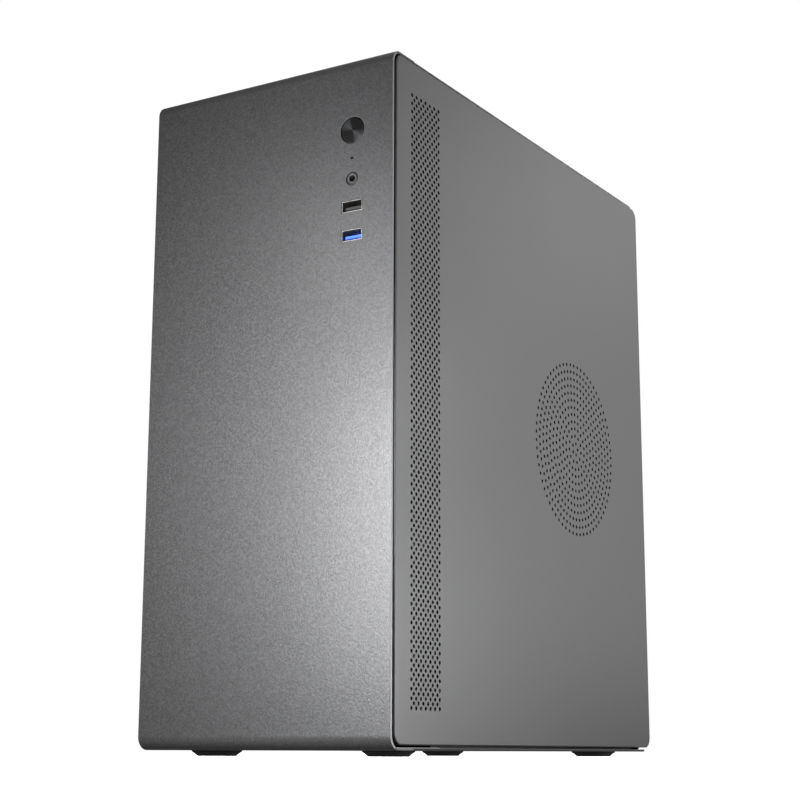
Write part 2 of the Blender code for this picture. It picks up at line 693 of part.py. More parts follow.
def psu_fan_guard():
    """Guard of rings and spokes over the power supply's fan hole."""
    outer = PSU_FAN_SIZE / 2
    profile = [(outer - 0.002, 0), (outer, 0), (outer, GUARD_T), (outer - 0.002, GUARD_T)]
    centre = Vector((0, PSU_FAN_Y, PSU_Z - GAP - GUARD_T))
    guard = turned("psu_fan_guard", "nickel", profile, centre, (0, 0, 1), 40)
    for radius in GUARD_RINGS:
        low, high = 0.0001, GUARD_T - 0.0001
        profile = [(radius - 0.002, low), (radius, low), (radius, high), (radius - 0.002, high)]
        join(guard, turned("ring", "nickel", profile, centre, (0, 0, 1), 32))
    reach = Vector((outer - 0.001, 0.001, 0))
    for turn in (45, 135):
        low = -reach + Vector((0, 0, 0.0002))
        bar = block("bar", "nickel", low, reach + Vector((0, 0, GUARD_T - 0.0003)))
        bar.rotation_euler.z = radians(turn)
        bar.location += centre
        join(guard, bar)
    return guard


def mains_inlet():
    """Three-pin appliance inlet: a recessed socket with its earth and supply pins."""
    half = INLET_SIZE / 2
    y0, y1 = PSU_REAR - INLET_DEPTH, PSU_REAR + 0.0009
    low = (INLET_X - half.x, y0, INLET_Z - half.z)
    body = block("mains_inlet", "black_plastic", low, (INLET_X + half.x, y1, INLET_Z + half.z), 0.0008)
    well_x, well_z = WELL_SIZE[0] / 2, WELL_SIZE[1] / 2
    low, high = (INLET_X - well_x, INLET_Z - well_z), (INLET_X + well_x, INLET_Z + well_z)
    outline = rounded_rectangle(low, high, 0.0022, 2)
    apply_boolean(body, prism("well", "black_plastic", outline, 1, y0 + 0.0035, y1 + 0.002), "DIFFERENCE")
    pin = Vector((0.001, 0, 0.002))
    for dx, dz in ((-0.007, -0.002), (0.0, 0.002), (0.007, -0.002)):
        root = Vector((INLET_X + dx, y0 + 0.002, INLET_Z + dz))
        tip = Vector((INLET_X + dx, y1 - 0.003, INLET_Z + dz))
        join(body, block("pin", "black_plastic", root - pin, tip + pin))
    return body


def psu_rocker():
    """Rocker switch that turns about X; one edge stands proud."""
    face = arc((0, 0), ROCKER_R, 41, -41, 6)
    outline = [(point[0] * 0.90, point[1] * 0.96) for point in face]
    outline += [(0.004, -0.0060), (0.0, -0.0040), (0.0, 0.0040), (0.004, 0.0060)]
    rocker = prism("psu_rocker", "black_plastic", outline, 0, -ROCKER_HALF.x, ROCKER_HALF.x)
    rocker.location = (ROCKER_X, PSU_REAR - 0.0100, ROCKER_Z)
    rocker.rotation_euler.x = radians(ROCKER_TILT)
    return rocker


# ---- main board -------------------------------------------------------------------------
def on_board(name, finish_name, y, z, height, start=0.0, bevel=0.0):
    """A box soldered to the board's face, between two y and two z values."""
    low = (PARTS_X - start - height, y[0], z[0])
    high = (PARTS_X - start, y[1], z[1])
    return block(name, finish_name, low, high, bevel)


def rear_ports():
    """Bank of rear sockets, each with its opening to the rear."""
    y0, y1 = WALL_Y - 0.0170, WALL_Y - 0.0001
    bank = on_board("rear_ports", "nickel", (y0, INSIDE_Y - 0.0012), (0.1495, 0.3015), 0.006)
    for low_z, high_z, depth in REAR_PORTS:
        x0 = BOARD_FACE - depth
        body = block("port", "nickel", (x0, y0, low_z), (PARTS_X - 0.0008, y1, high_z))
        low = (x0 + 0.0012, y1 - 0.011, low_z + PORT_WALL)
        join(bank, cut_box(body, low, (x0 + 0.0112, y1 + 0.002, high_z - PORT_WALL)))
    return bank


def cpu_socket():
    """Processor socket, frame and lid."""
    frame_y, frame_z = (CPU_Y - 0.026, CPU_Y + 0.026), (CPU_Z - 0.028, CPU_Z + 0.028)
    lid_y, lid_z = (CPU_Y - 0.016, CPU_Y + 0.016), (CPU_Z - 0.016, CPU_Z + 0.016)
    frame = on_board("cpu_socket", "nickel", frame_y, frame_z, 0.0040)
    return join(frame, on_board("lid", "nickel", lid_y, lid_z, LID_H / 2, LID_H / 2, 0.0005))


def cpu_heatsink():
    """Extruded cooler: a base plate and straight fins."""
    half = COOLER_SIZE / 2
    x0 = PARTS_X - LID_H - GAP
    outline = [(x0, CPU_Y - half)]
    pitch = (COOLER_SIZE - SINK_FIN_T) / (SINK_FINS - 1)
    for i in range(SINK_FINS):
        y = CPU_Y - half + i * pitch
        outline += [(x0 - SINK_H, y), (x0 - SINK_H, y + SINK_FIN_T)]
        if i < SINK_FINS - 1:
            outline += [(x0 - SINK_BASE, y + SINK_FIN_T), (x0 - SINK_BASE, y + pitch)]
    outline.append((x0, CPU_Y + half))
    return prism("cpu_heatsink", "aluminium", outline, 2, CPU_Z - half, CPU_Z + half)


def memory_slot(name, y):
    """Memory socket with its raised ends."""
    z0, z1 = MEMORY_Z
    slot = on_board(name, "black_plastic", (y - 0.0033, y + 0.0033), (z0, z1), MEMORY_SEAT)
    for low, high in ((z0, z0 + 0.006), (z1 - 0.006, z1)):
        join(slot, on_board("end", "grey_plastic", (y - 0.0030, y + 0.0030), (low, high), 0.0170, 0.0005))
    return slot


def memory_module(name, y):
    """Memory module with chips on one side."""
    x1 = PARTS_X - MEMORY_SEAT - GAP
    z0, z1 = MEMORY_Z[0] + 0.0070, MEMORY_Z[1] - 0.0070
    board = block(name, "green_board", (x1 - 0.0290, y - 0.0006, z0), (x1, y + 0.0006, z1))
    for i in range(8):
        z = z0 + 0.0070 + i * 0.0150
        low = (x1 - 0.0200, y + 0.0004, z)
        join(board, block("chip", "black_plastic", low, (x1 - 0.0090, y + 0.0016, z + 0.0085)))
    return board


def comb_block(name, y, z, height, fins):
    """Small finned heatsink on the board."""
    pitch = (y[1] - y[0]) / (2 * fins - 1)
    outline = [(PARTS_X, y[0])]
    for i in range(fins):
        start = y[0] + 2 * i * pitch
        outline += [(PARTS_X - height, start), (PARTS_X - height, start + pitch)]
        if i < fins - 1:
            outline += [(PARTS_X - 0.003, start + pitch), (PARTS_X - 0.003, start + 2 * pitch)]
    outline.append((PARTS_X, y[1]))
    return prism(name, "aluminium", outline, 2, z[0], z[1])


def main_board():
    """The board and what is soldered or plugged into it."""
    low = (BOARD_FACE, BOARD_Y[0], BOARD_Z[0])
    block("motherboard", "green_board", low, (BOARD_X, BOARD_Y[1], BOARD_Z[1]))
    rear_ports()
    cpu_socket()
    cpu_heatsink()
    memory_slot("memory_slot", MEMORY_Y)
    memory_module("memory_module", MEMORY_Y)
    card_z = (SLOT_TOP_Z - 0.0038, SLOT_TOP_Z + 0.0038)
    on_board("card_slot", "black_plastic", (0.030, 0.119), card_z, 0.0110)
    comb_block("chipset_heatsink", (-0.006, 0.030), (0.078, 0.114), 0.010, 7)
    comb_block("regulator_heatsink", (0.112, 0.128), (0.176, 0.240), 0.018, 4)
    on_board("board_power_socket", "grey_plastic", (-0.0335, -0.0235), (0.190, 0.242), 0.0110)
    centre = Vector((PARTS_X, 0.100, 0.095))
    profile = [(0, 0), (0.0105, 0), (0.0105, 0.0022), (0.0098, 0.0040), (0, 0.0040)]
    turned("coin_cell", "nickel", profile, centre, (-1, 0, 0), 24)


# ---- drives -----------------------------------------------------------------------------
def drive_cage():
    """Folded bracket over the hard drive, on two floor flanges."""
    low, t = CHASSIS_LOW, SHEET
    x0, x1 = CAGE_X
    outline = [
        (x0 - CAGE_FLANGE, low),
        (x0, low),
        (x0, CAGE_TOP - t),
        (x1, CAGE_TOP - t),
        (x1, low),
        (x1 + CAGE_FLANGE, low),
        (x1 + CAGE_FLANGE, low + t),
        (x1 + t, low + t),
        (x1 + t, CAGE_TOP),
        (x0 - t, CAGE_TOP),
        (x0 - t, low + t),
        (x0 - CAGE_FLANGE, low + t),
    ]
    return prism("drive_cage", "dark_steel", outline, 1, *CAGE_Y)


def drives():
    """Hard drive inside the cage and solid-state drive on top of it."""
    middle = sum(CAGE_X) / 2
    low = Vector((middle - DRIVE_SIZE.x / 2, CAGE_Y[0] + 0.001, DRIVE_Z))
    block("hard_drive", "aluminium", low, low + DRIVE_SIZE, 0.0010)
    low = Vector((middle - 0.035, -0.070, CAGE_TOP + GAP))
    block("solid_state_drive", "grey_plastic", low, low + SLIM_DRIVE_SIZE, 0.0008)


# ---- cables held inside -------------------------------------------------------------------
def smooth_route(points, step):
    """Evenly spaced points along a Catmull-Rom curve through points."""
    points = [Vector(p) for p in points]
    ends = [2 * points[0] - points[1], *points, 2 * points[-1] - points[-2]]
    dense = []
    for i in range(1, len(ends) - 2):
        a, b, c, d = ends[i - 1 : i + 3]
        for k in range(20):
            t = k / 20
            square = (2 * a - 5 * b + 4 * c - d) * t * t
            cube = (3 * b - a - 3 * c + d) * t**3
            dense.append((2 * b + (c - a) * t + square + cube) / 2)
    dense.append(points[-1])
    route = [dense[0]]
    for point in dense[1:]:
        if (point - route[-1]).length >= step:
            route.append(point)
    if (dense[-1] - route[-1]).length < step / 2:
        route.pop()
    return [*route, dense[-1]]


def cable(name, diameter, step, points):
    """A round cable along a smooth route, with a point every step and filled ends."""
    route = smooth_route(points, step)
    curve = bpy.data.curves.new(name, "CURVE")
    curve.dimensions = "3D"
    curve.bevel_depth = diameter / 2
    curve.bevel_resolution = 2
    curve.use_fill_caps = True
    curve.materials.append(finish("black_plastic"))
    spline = curve.splines.new("POLY")
    spline.points.add(len(route) - 1)
    for point, place_of in zip(spline.points, route):
        point.co = (*place_of, 1)
    obj = bpy.data.objects.new(name, curve)
    bpy.context.collection.objects.link(obj)
    return obj


def cables():
    """Lead from the front sockets, and the supply's lead to the board."""
    start_y = IO_BOARD_Y + BOARD_T + GAP
    cable(
        "front_io_cable",
        0.005,
        0.010,
        [
            (COLUMN_X, start_y, 0.300),
            (COLUMN_X, start_y + 0.012, 0.299),
            (COLUMN_X + 0.003, start_y + 0.024, 0.280),
            (CABLE_X, BULKHEAD_Y, CABLE_HOLE_Z),
            (CABLE_X + 0.002, BULKHEAD_Y + 0.020, 0.225),
            (CABLE_X + 0.004, -0.078, 0.170),
            (CABLE_X + 0.003, -0.060, 0.110),
            (CABLE_X + 0.0005, -0.0440, 0.080),
            (CABLE_X - 0.002, -0.0390, 0.066),
        ],
    )
    start = Vector((PSU_SIZE.x / 2 - 0.030, PSU_FRONT - 0.0010, PSU_Z + 0.030))
    cable(
        "board_power_cable",
        0.011,
        0.009,
        [
            start,
            start + Vector((0, -0.022, -0.001)),
            start + Vector((0.002, -0.046, -0.022)),
            (0.040, -0.0320, 0.262),
            (0.0365, -0.0285, 0.2330),
            (0.0450, -0.0285, 0.2165),
            (0.0505, -0.0285, 0.2160),
            (PARTS_X - 0.0110 - 2 * GAP, -0.0285, 0.216),
        ],
    )


# ---- assembly -------------------------------------------------------------------------------
def build():
    """Builds every part of the tower."""
    for obj in list(bpy.data.objects):
        bpy.data.objects.remove(obj)
    front_panel()
    cover("top_cover", TOP, -1)
    cover("base_cover", BOTTOM, 1)
    side_panel("left_side_panel", -1)
    side_panel("right_side_panel", 1)
    for depth, y in (("front", FRONT + 0.0413), ("rear", FRONT + 0.3108)):
        for hand, x in (("left", -0.0603), ("right", 0.0603)):
            foot(f"foot_{depth}_{hand}", x, y)
    rear_wall()
    front_bulkhead()
    motherboard_tray()
    power_button()
    power_switch()
    status_light()
    audio_jack()
    usb_shell("usb2_shell", USB2_Z)
    usb_tongue("usb2_tongue", "black_plastic", USB2_Z)
    usb_shell("usb3_shell", USB3_Z)
    usb_tongue("usb3_tongue", "blue_plastic", USB3_Z)
    front_io_board()
    for hand, side in (("left", -1), ("right", 1)):
        for level, z in (("lower", THUMB_Z[0]), ("upper", THUMB_Z[1])):
            thumbscrew(f"thumbscrew_{hand}_{level}", side * THUMB_X, z)
            washer(f"washer_{hand}_{level}", side * THUMB_X, z)
    for index in range(SLOT_COUNT):
        slot_cover(f"slot_cover_{index + 1}", SLOT_TOP_Z - index * SLOT_PITCH)
    io_shield()
    rear_fan = (REAR_FAN_X, INSIDE_Y - GAP - FAN_DEPTH / 2, REAR_FAN_Z)
    fan_frame("rear_fan_frame", REAR_FAN_SIZE, rear_fan, (0, 1, 0))
    fan_rotor("rear_fan_rotor", REAR_FAN_SIZE, rear_fan, (0, 1, 0))
    cooler_fan = (PARTS_X - LID_H - SINK_H - 3 * GAP - FAN_DEPTH / 2, CPU_Y, CPU_Z)
    fan_frame("cooler_fan_frame", COOLER_SIZE, cooler_fan, (1, 0, 0))
    fan_rotor("cooler_fan_rotor", COOLER_SIZE, cooler_fan, (1, 0, 0))
    psu_case()
    psu_board()
    psu_fan_guard()
    psu_fan = (0, PSU_FAN_Y, PSU_Z + PSU_WALL + 0.001 + FAN_DEPTH / 2)
    fan_rotor("psu_fan_rotor", PSU_FAN_SIZE, psu_fan, (0, 0, 1))
    mains_inlet()
    psu_rocker()
    main_board()
    drive_cage()
    drives()
    cables()


build()
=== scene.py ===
"""Desktop computer tower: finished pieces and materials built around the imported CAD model."""

import sys

import logging
import math
from collections.abc import Callable, Iterable, Sequence
from dataclasses import dataclass, field, replace
from enum import Enum

import bmesh
import bpy
from mathutils import Matrix, Vector


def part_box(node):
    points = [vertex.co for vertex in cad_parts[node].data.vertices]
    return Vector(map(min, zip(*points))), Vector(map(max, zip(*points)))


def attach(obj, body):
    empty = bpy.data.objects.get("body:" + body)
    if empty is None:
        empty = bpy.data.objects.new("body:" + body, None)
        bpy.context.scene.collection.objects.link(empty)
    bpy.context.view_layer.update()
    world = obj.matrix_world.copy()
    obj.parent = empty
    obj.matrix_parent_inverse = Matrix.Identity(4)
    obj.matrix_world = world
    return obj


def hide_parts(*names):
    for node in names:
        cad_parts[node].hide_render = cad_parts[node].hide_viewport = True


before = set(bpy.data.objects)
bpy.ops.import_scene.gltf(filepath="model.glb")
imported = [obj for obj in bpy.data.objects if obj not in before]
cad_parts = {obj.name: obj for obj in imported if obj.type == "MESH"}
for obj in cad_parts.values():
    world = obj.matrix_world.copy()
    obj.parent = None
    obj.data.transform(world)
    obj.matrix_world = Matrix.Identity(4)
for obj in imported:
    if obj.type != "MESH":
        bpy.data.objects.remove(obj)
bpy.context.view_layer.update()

LOG = logging.getLogger("tower")
MM = 0.001
X, Y, Z = Vector((1, 0, 0)), Vector((0, 1, 0)), Vector((0, 0, 1))
Tree, Node, Socket = bpy.types.NodeTree, bpy.types.Node, bpy.types.NodeSocket
Piece = bpy.types.Object
Mesh = bmesh.types.BMesh
Loop = list[bmesh.types.BMEdge]
Verts = list[bmesh.types.BMVert]
Spot = tuple[float, float]
Profile = Sequence[Spot]
Point = tuple[float, float, float]
HEX_ROW = 0.866  # distance between the rows of a staggered pattern, as a share of its pitch
SAME = 1e-6  # metres within which two places count as one


class Side(Enum):
    """Which hand of the tower a piece belongs to, seen from the front."""

    LEFT = -1
    RIGHT = 1


class Body(Enum):
    """CAD bodies that more than one piece rides on."""

    CHASSIS = "chassis"
    BUTTON = "power_button"


# ---- colour and node helpers -----------------------------------------------------------------
def linear(code: str, gain: float = 1.0) -> tuple[float, float, float, float]:
    """Turns an sRGB hex colour linear.

    Args:
        code: Colour as "#RRGGBB".
        gain: Factor on the linear value, for a darker or lighter relative.

    Returns:
        Linear red, green, blue and an alpha of 1.
    """
    parts = [int(code[i : i + 2], 16) / 255 for i in (1, 3, 5)]
    red, green, blue = (c / 12.92 if c <= 0.04045 else ((c + 0.055) / 1.055) ** 2.4 for c in parts)
    return (red * gain, green * gain, blue * gain, 1.0)


def add_node(
    tree: Tree,
    kind: str,
    settings: dict[str | int, object] | None = None,
    links: dict[str | int, Socket] | None = None,
) -> Node:
    """Adds a node with its settings and links.

    Args:
        tree: Node tree that gets the node.
        kind: Node type without its "ShaderNode", such as "TexNoise".
        settings: Properties of the node, or values of its input sockets.
        links: Input socket to the output socket that feeds it.

    Returns:
        The new node.
    """
    node = tree.nodes.new(f"ShaderNode{kind}")
    for key, value in (settings or {}).items():
        if isinstance(key, int) or (key in node.inputs and not hasattr(node, str(key))):
            node.inputs[key].default_value = value
        else:
            setattr(node, key, value)
    for key, socket in (links or {}).items():
        tree.links.new(socket, node.inputs[key])
    return node


def calculate(tree: Tree, operation: str, *values: float | Socket) -> Socket:
    """Adds a maths node.

    Args:
        tree: Node tree that gets the node.
        operation: What it does, such as "MULTIPLY".
        values: A number or an output socket for each of its inputs.

    Returns:
        Its result.
    """
    settings: dict[str | int, object] = {"operation": operation}
    links: dict[str | int, Socket] = {}
    for index, value in enumerate(values):
        (links if isinstance(value, Socket) else settings)[index] = value
    return add_node(tree, "Math", settings, links).outputs[0]


# ---- finishes --------------------------------------------------------------------------------
@dataclass(frozen=True)
class Finish:
    """A surface finish: a base colour that wanders a little, and a fine moulded or cast grain."""

    name: str
    colour: str
    roughness: float
    metallic: float = 0.0
    ior: float = 1.5
    grain_mm: float = 1.0
    grain_depth_mm: float = 0.01
    mottle: float = 0.06
    mottle_mm: float = 14.0
    rough_span: float = 0.05

    def material(self) -> bpy.types.Material:
        """Gives the finish's material, made on first use."""
        found = bpy.data.materials.get(self.name)
        if found:
            return found
        material = bpy.data.materials.new(self.name)
        material.use_nodes = True
        tree = material.node_tree
        tree.nodes.clear()
        settings = {"Metallic": self.metallic, "Roughness": self.roughness}
        if self.metallic < 0.5:
            settings["IOR"] = self.ior
        shader = add_node(tree, "BsdfPrincipled", settings)
        add_node(tree, "OutputMaterial", {}, {"Surface": shader.outputs["BSDF"]})
        place = add_node(tree, "TexCoord").outputs["Object"]
        self.dress(tree, shader, place)
        material.diffuse_color = linear(self.colour)
        return material

    def noise(self, tree: Tree, place: Socket, size_mm: float, detail: float = 2.0) -> Socket:
        """Adds noise whose blotches are about size_mm across.

        Args:
            tree: The material's node tree.
            place: Coordinates that the noise reads.
            size_mm: Size of one blotch in millimetres.
            detail: Octaves of finer noise on top.

        Returns:
            The noise's factor socket.
        """
        settings = {"Scale": 1 / (size_mm * MM), "Detail": detail, "Roughness": 0.55}
        return add_node(tree, "TexNoise", settings, {"Vector": place}).outputs[0]

    def tint(self, tree: Tree, shader: Node, factor: Socket, low: str, high: str) -> None:
        """Runs the base colour from low to high as factor goes from 0.3 to 0.7.

        Args:
            tree: The material's node tree.
            shader: The shader that shows the colour.
            factor: Socket that picks the colour.
            low: Colour at the low end, which the mottle darkens.
            high: Colour at the high end, which it lightens.
        """
        ramp = add_node(tree, "ValToRGB", {}, {"Fac": factor})
        ramp.color_ramp.elements[0].position, ramp.color_ramp.elements[1].position = 0.3, 0.7
        ramp.color_ramp.elements[0].color = linear(low, 1 - self.mottle)
        ramp.color_ramp.elements[1].color = linear(high, 1 + self.mottle)
        tree.links.new(ramp.outputs["Color"], shader.inputs["Base Color"])

    def wear(self, tree: Tree, shader: Node, factor: Socket) -> None:
        """Lets the roughness wander by rough_span on each side with factor.

        Args:
            tree: The material's node tree.
            shader: The shader that gets the roughness.
            factor: Socket that it follows.
        """
        settings = {
            "From Min": 0.3,
            "From Max": 0.7,
            "To Min": self.roughness - self.rough_span,
            "To Max": self.roughness + self.rough_span,
        }
        spread = add_node(tree, "MapRange", settings, {"Value": factor})
        tree.links.new(spread.outputs["Result"], shader.inputs["Roughness"])

    def relief(
        self,
        tree: Tree,
        shader: Node,
        height: Socket,
        depth_mm: float,
        strength: float = 1.0,
        under: Socket | None = None,
    ) -> Socket:
        """Adds a bump of depth_mm where height goes from 0 to 1, over an earlier bump.

        Args:
            tree: The material's node tree.
            shader: The shader that shows the bump.
            height: Height from 0 to 1.
            depth_mm: Real height of the relief in millimetres.
            strength: Share of the bump that shows.
            under: Normal of an earlier bump.

        Returns:
            The bumped normal.
        """
        links = {"Height": height}
        if under:
            links["Normal"] = under
        bump = add_node(tree, "Bump", {"Strength": strength, "Distance": depth_mm * MM}, links)
        tree.links.new(bump.outputs["Normal"], shader.inputs["Normal"])
        return bump.outputs["Normal"]

    def dress(self, tree: Tree, shader: Node, place: Socket) -> None:
        """Adds the mottle, the wear and the grain to the shader.

        Args:
            tree: The material's node tree.
            shader: The finish's shader.
            place: Object coordinates.
        """
        cloud = self.noise(tree, place, self.mottle_mm)
        self.tint(tree, shader, cloud, self.colour, self.colour)
        self.wear(tree, shader, cloud)
        self.relief(tree, shader, self.noise(tree, place, self.grain_mm), self.grain_depth_mm)


@dataclass(frozen=True)
class TexturedPowderCoat(Finish):
    """Textured powder coat: melted grains leave rounded bumps, with metal flake in between."""

    flake_mm: float = 0.7
    flake_colour: str = "#646464"
    bump_mm: float = 1.0
    # where the painted highlight of the side edge strip starts on X and ends on Y, and its colour
    painted_highlight_from_x: float = 1.0
    painted_highlight_to_y: float = 0.0
    painted_highlight_colour: str = "#77797B"
    grain_shade: float = 0.30

    def dress(self, tree: Tree, shader: Node, place: Socket) -> None:
        """Adds rounded grains, fine sand between them, scattered flakes and a painted highlight along the
        side edge strip.
        """
        grains = self.noise(tree, place, self.bump_mm, 3.0)
        # Flake is about 0.05 mm in the tin; it is drawn at 0.7 mm so that its glint still shows.
        flake = self.noise(tree, place, self.flake_mm, 0.0)
        range_of_flake = {"From Min": 0.70, "From Max": 0.92, "To Min": 0.0, "To Max": 1.0}
        glint = add_node(tree, "MapRange", range_of_flake, {"Value": flake})
        # Grains shade each other, so the tops read lighter than the sand between them.
        ramp = add_node(tree, "ValToRGB", {}, {"Fac": grains})
        ramp.color_ramp.elements[0].position, ramp.color_ramp.elements[1].position = 0.3, 0.7
        ramp.color_ramp.elements[0].color = linear(self.colour, 1 - self.grain_shade)
        ramp.color_ramp.elements[1].color = linear(self.colour, 1 + self.grain_shade)
        links = {0: glint.outputs["Result"], 6: ramp.outputs["Color"]}
        mix = add_node(tree, "Mix", {"data_type": "RGBA"}, links)
        mix.inputs[7].default_value = linear(self.flake_colour)
        # Painted highlight: the side edge strip near the front face is coloured lighter, standing in for
        # the highlight that its rounding catches.
        split = add_node(tree, "SeparateXYZ", {}, {0: place})
        out = calculate(tree, "ABSOLUTE", split.outputs["X"])
        side = calculate(tree, "GREATER_THAN", out, self.painted_highlight_from_x)
        fore = calculate(tree, "LESS_THAN", split.outputs["Y"], self.painted_highlight_to_y)
        edge = calculate(tree, "MULTIPLY", side, fore)
        coat = add_node(tree, "Mix", {"data_type": "RGBA"}, {0: edge, 6: mix.outputs[2]})
        coat.inputs[7].default_value = linear(self.painted_highlight_colour)
        tree.links.new(coat.outputs[2], shader.inputs["Base Color"])
        self.wear(tree, shader, flake)
        normal = self.relief(tree, shader, grains, self.grain_depth_mm)
        self.relief(
            tree,
            shader,
            self.noise(tree, place, self.grain_mm, 1.0),
            self.grain_depth_mm * 0.4,
            1.0,
            normal,
        )


@dataclass(frozen=True)
class Galvanised(Finish):
    """Hot-dip zinc: flat crystals of slightly different brightness, a few millimetres across."""

    spangle_mm: float = 6.0

    def dress(self, tree: Tree, shader: Node, place: Socket) -> None:
        """Adds spangles to the colour and the roughness, and a rolled grain."""
        cells = add_node(tree, "TexVoronoi", {"Scale": 1 / (self.spangle_mm * MM)}, {"Vector": place})
        split = add_node(tree, "SeparateColor", {}, {"Color": cells.outputs["Color"]})
        self.tint(tree, shader, split.outputs["Red"], self.colour, self.colour)
        self.wear(tree, shader, split.outputs["Green"])
        self.relief(tree, shader, self.noise(tree, place, self.grain_mm), self.grain_depth_mm)


@dataclass(frozen=True)
class Brushed(Finish):
    """Metal or moulding drawn in one direction: fine parallel scratches along an axis."""

    along: Vector = field(default_factory=lambda: Vector((1, 0, 0)))
    stretch: float = 30.0

    def dress(self, tree: Tree, shader: Node, place: Socket) -> None:
        """Adds long thin scratches to the colour, the roughness and the bump."""
        squeeze = Vector([1 / self.stretch if a else 1.0 for a in self.along])
        lines = add_node(tree, "Mapping", {"Scale": squeeze}, {"Vector": place}).outputs["Vector"]
        scratch = self.noise(tree, lines, self.grain_mm, 3.0)
        self.tint(tree, shader, scratch, self.colour, self.colour)
        self.wear(tree, shader, scratch)
        self.relief(tree, shader, scratch, self.grain_depth_mm)


@dataclass(frozen=True)
class FaceTurned(Finish):
    """Metal faced on a lathe: concentric tool marks that split the sheen into light and dark fans, which
    are painted into the colour as highlight and shade.
    """

    centre: Vector = field(default_factory=Vector)
    pitch_mm: float = 0.8
    anisotropy: float = 0.8
    # share of the full turn, from the viewer's left and clockwise, and brightness of the fan there; the
    # light fans are painted highlight and the dark ones painted shade
    painted_sheen_fans: tuple[Spot, ...] = (
        (0.0, 0.25),
        (0.03, 0.5),
        (0.11, 1.1),
        (0.18, 0.8),
        (0.22, 0.24),
        (0.50, 0.20),
        (0.545, 0.5),
        (0.62, 1.1),
        (0.69, 0.7),
        (0.74, 0.24),
        (1.0, 0.25),
    )

    def dress(self, tree: Tree, shader: Node, place: Socket) -> None:
        """Adds the fans of painted highlight and shade about the centre, ring-shaped tool marks and the
        stretched highlight.
        """
        middle = add_node(
            tree, "VectorMath", {"operation": "SUBTRACT", 1: self.centre}, {0: place}
        ).outputs[0]
        # The gradient turns about Z, so the face's X and Z are laid on its X and Y.
        laid = add_node(tree, "Mapping", {"Rotation": Vector((math.pi / 2, 0, 0))}, {"Vector": middle})
        around = add_node(
            tree, "TexGradient", {"gradient_type": "RADIAL"}, {"Vector": laid.outputs["Vector"]}
        ).outputs["Fac"]
        # Painted highlight and shade: the base colour runs through light and dark fans around the centre.
        ramp = add_node(tree, "ValToRGB", {}, {"Fac": around})
        while len(ramp.color_ramp.elements) < len(self.painted_sheen_fans):
            ramp.color_ramp.elements.new(0.5)
        for element, (share, gain) in zip(ramp.color_ramp.elements, self.painted_sheen_fans):
            element.position, element.color = share, linear(self.colour, gain)
        # Tool marks are 0.1 mm apart; every eighth is drawn, so that the rings show.
        away = add_node(tree, "VectorMath", {"operation": "LENGTH"}, {0: middle}).outputs["Value"]
        marks = calculate(tree, "PINGPONG", away, self.pitch_mm * MM / 2)
        shade = add_node(
            tree,
            "MapRange",
            {"From Max": self.pitch_mm * MM / 2, "To Min": 1 - self.mottle, "To Max": 1 + self.mottle},
            {"Value": marks},
        ).outputs["Result"]
        face = add_node(
            tree, "VectorMath", {"operation": "SCALE"}, {0: ramp.outputs["Color"], "Scale": shade}
        ).outputs[0]
        tree.links.new(face, shader.inputs["Base Color"])
        tangent = add_node(tree, "Tangent", {"direction_type": "RADIAL", "axis": "Y"})
        shader.inputs["Anisotropic"].default_value = self.anisotropy
        tree.links.new(tangent.outputs["Tangent"], shader.inputs["Tangent"])


@dataclass(frozen=True)
class CircuitBoard(Finish):
    """Glass-epoxy board under solder mask: copper runs show through as raised, lighter lines."""

    run_mm: float = 1.6
    run_colour: str = "#2C5A3C"
    pad_colour: str = "#C9A24A"

    def dress(self, tree: Tree, shader: Node, place: Socket) -> None:
        """Adds square-cornered copper runs and gold-plated pads."""
        scale = 1 / (self.run_mm * 4 * MM)
        cells = add_node(
            tree, "TexVoronoi", {"distance": "CHEBYCHEV", "Scale": scale}, {"Vector": place}
        ).outputs["Distance"]
        runs = calculate(tree, "PINGPONG", cells, 0.12)
        line = calculate(tree, "GREATER_THAN", runs, 0.07)
        pads = add_node(
            tree, "TexVoronoi", {"Scale": 1 / (5.0 * MM)}, {"Vector": place}
        ).outputs["Distance"]
        pad = calculate(tree, "LESS_THAN", pads, 0.12)
        mask = add_node(tree, "Mix", {"data_type": "RGBA"}, {0: line})
        mask.inputs[6].default_value = linear(self.colour)
        mask.inputs[7].default_value = linear(self.run_colour)
        plated = add_node(tree, "Mix", {"data_type": "RGBA"}, {0: pad, 6: mask.outputs[2]})
        plated.inputs[7].default_value = linear(self.pad_colour)
        tree.links.new(plated.outputs[2], shader.inputs["Base Color"])
        tree.links.new(pad, shader.inputs["Metallic"])
        self.relief(tree, shader, line, self.grain_depth_mm)


@dataclass(frozen=True)
class ClearResin(Finish):
    """Moulded clear acrylic, lightly smoked."""

    transmission: float = 0.7

    def dress(self, tree: Tree, shader: Node, place: Socket) -> None:
        """Adds the see-through body under the moulded grain."""
        super().dress(tree, shader, place)
        shader.inputs["Transmission Weight"].default_value = self.transmission


@dataclass(frozen=True)
class Braided(Finish):
    """Woven nylon sleeve: two sets of threads that cross on the slant."""

    thread_mm: float = 1.2

    def dress(self, tree: Tree, shader: Node, place: Socket) -> None:
        """Adds crossed threads to the colour and the bump."""
        waves = []
        for turn in (0.8, -0.8):
            turned = add_node(
                tree, "Mapping", {"Rotation": Vector((turn, turn, turn))}, {"Vector": place}
            ).outputs["Vector"]
            settings = {"Scale": 2 * math.pi / (20 * self.thread_mm * MM), "Distortion": 0.5}
            waves.append(add_node(tree, "TexWave", settings, {"Vector": turned}).outputs[0])
        weave = calculate(tree, "MAXIMUM", waves[0], waves[1])
        self.tint(tree, shader, weave, self.colour, self.colour)
        self.relief(tree, shader, weave, self.grain_depth_mm)


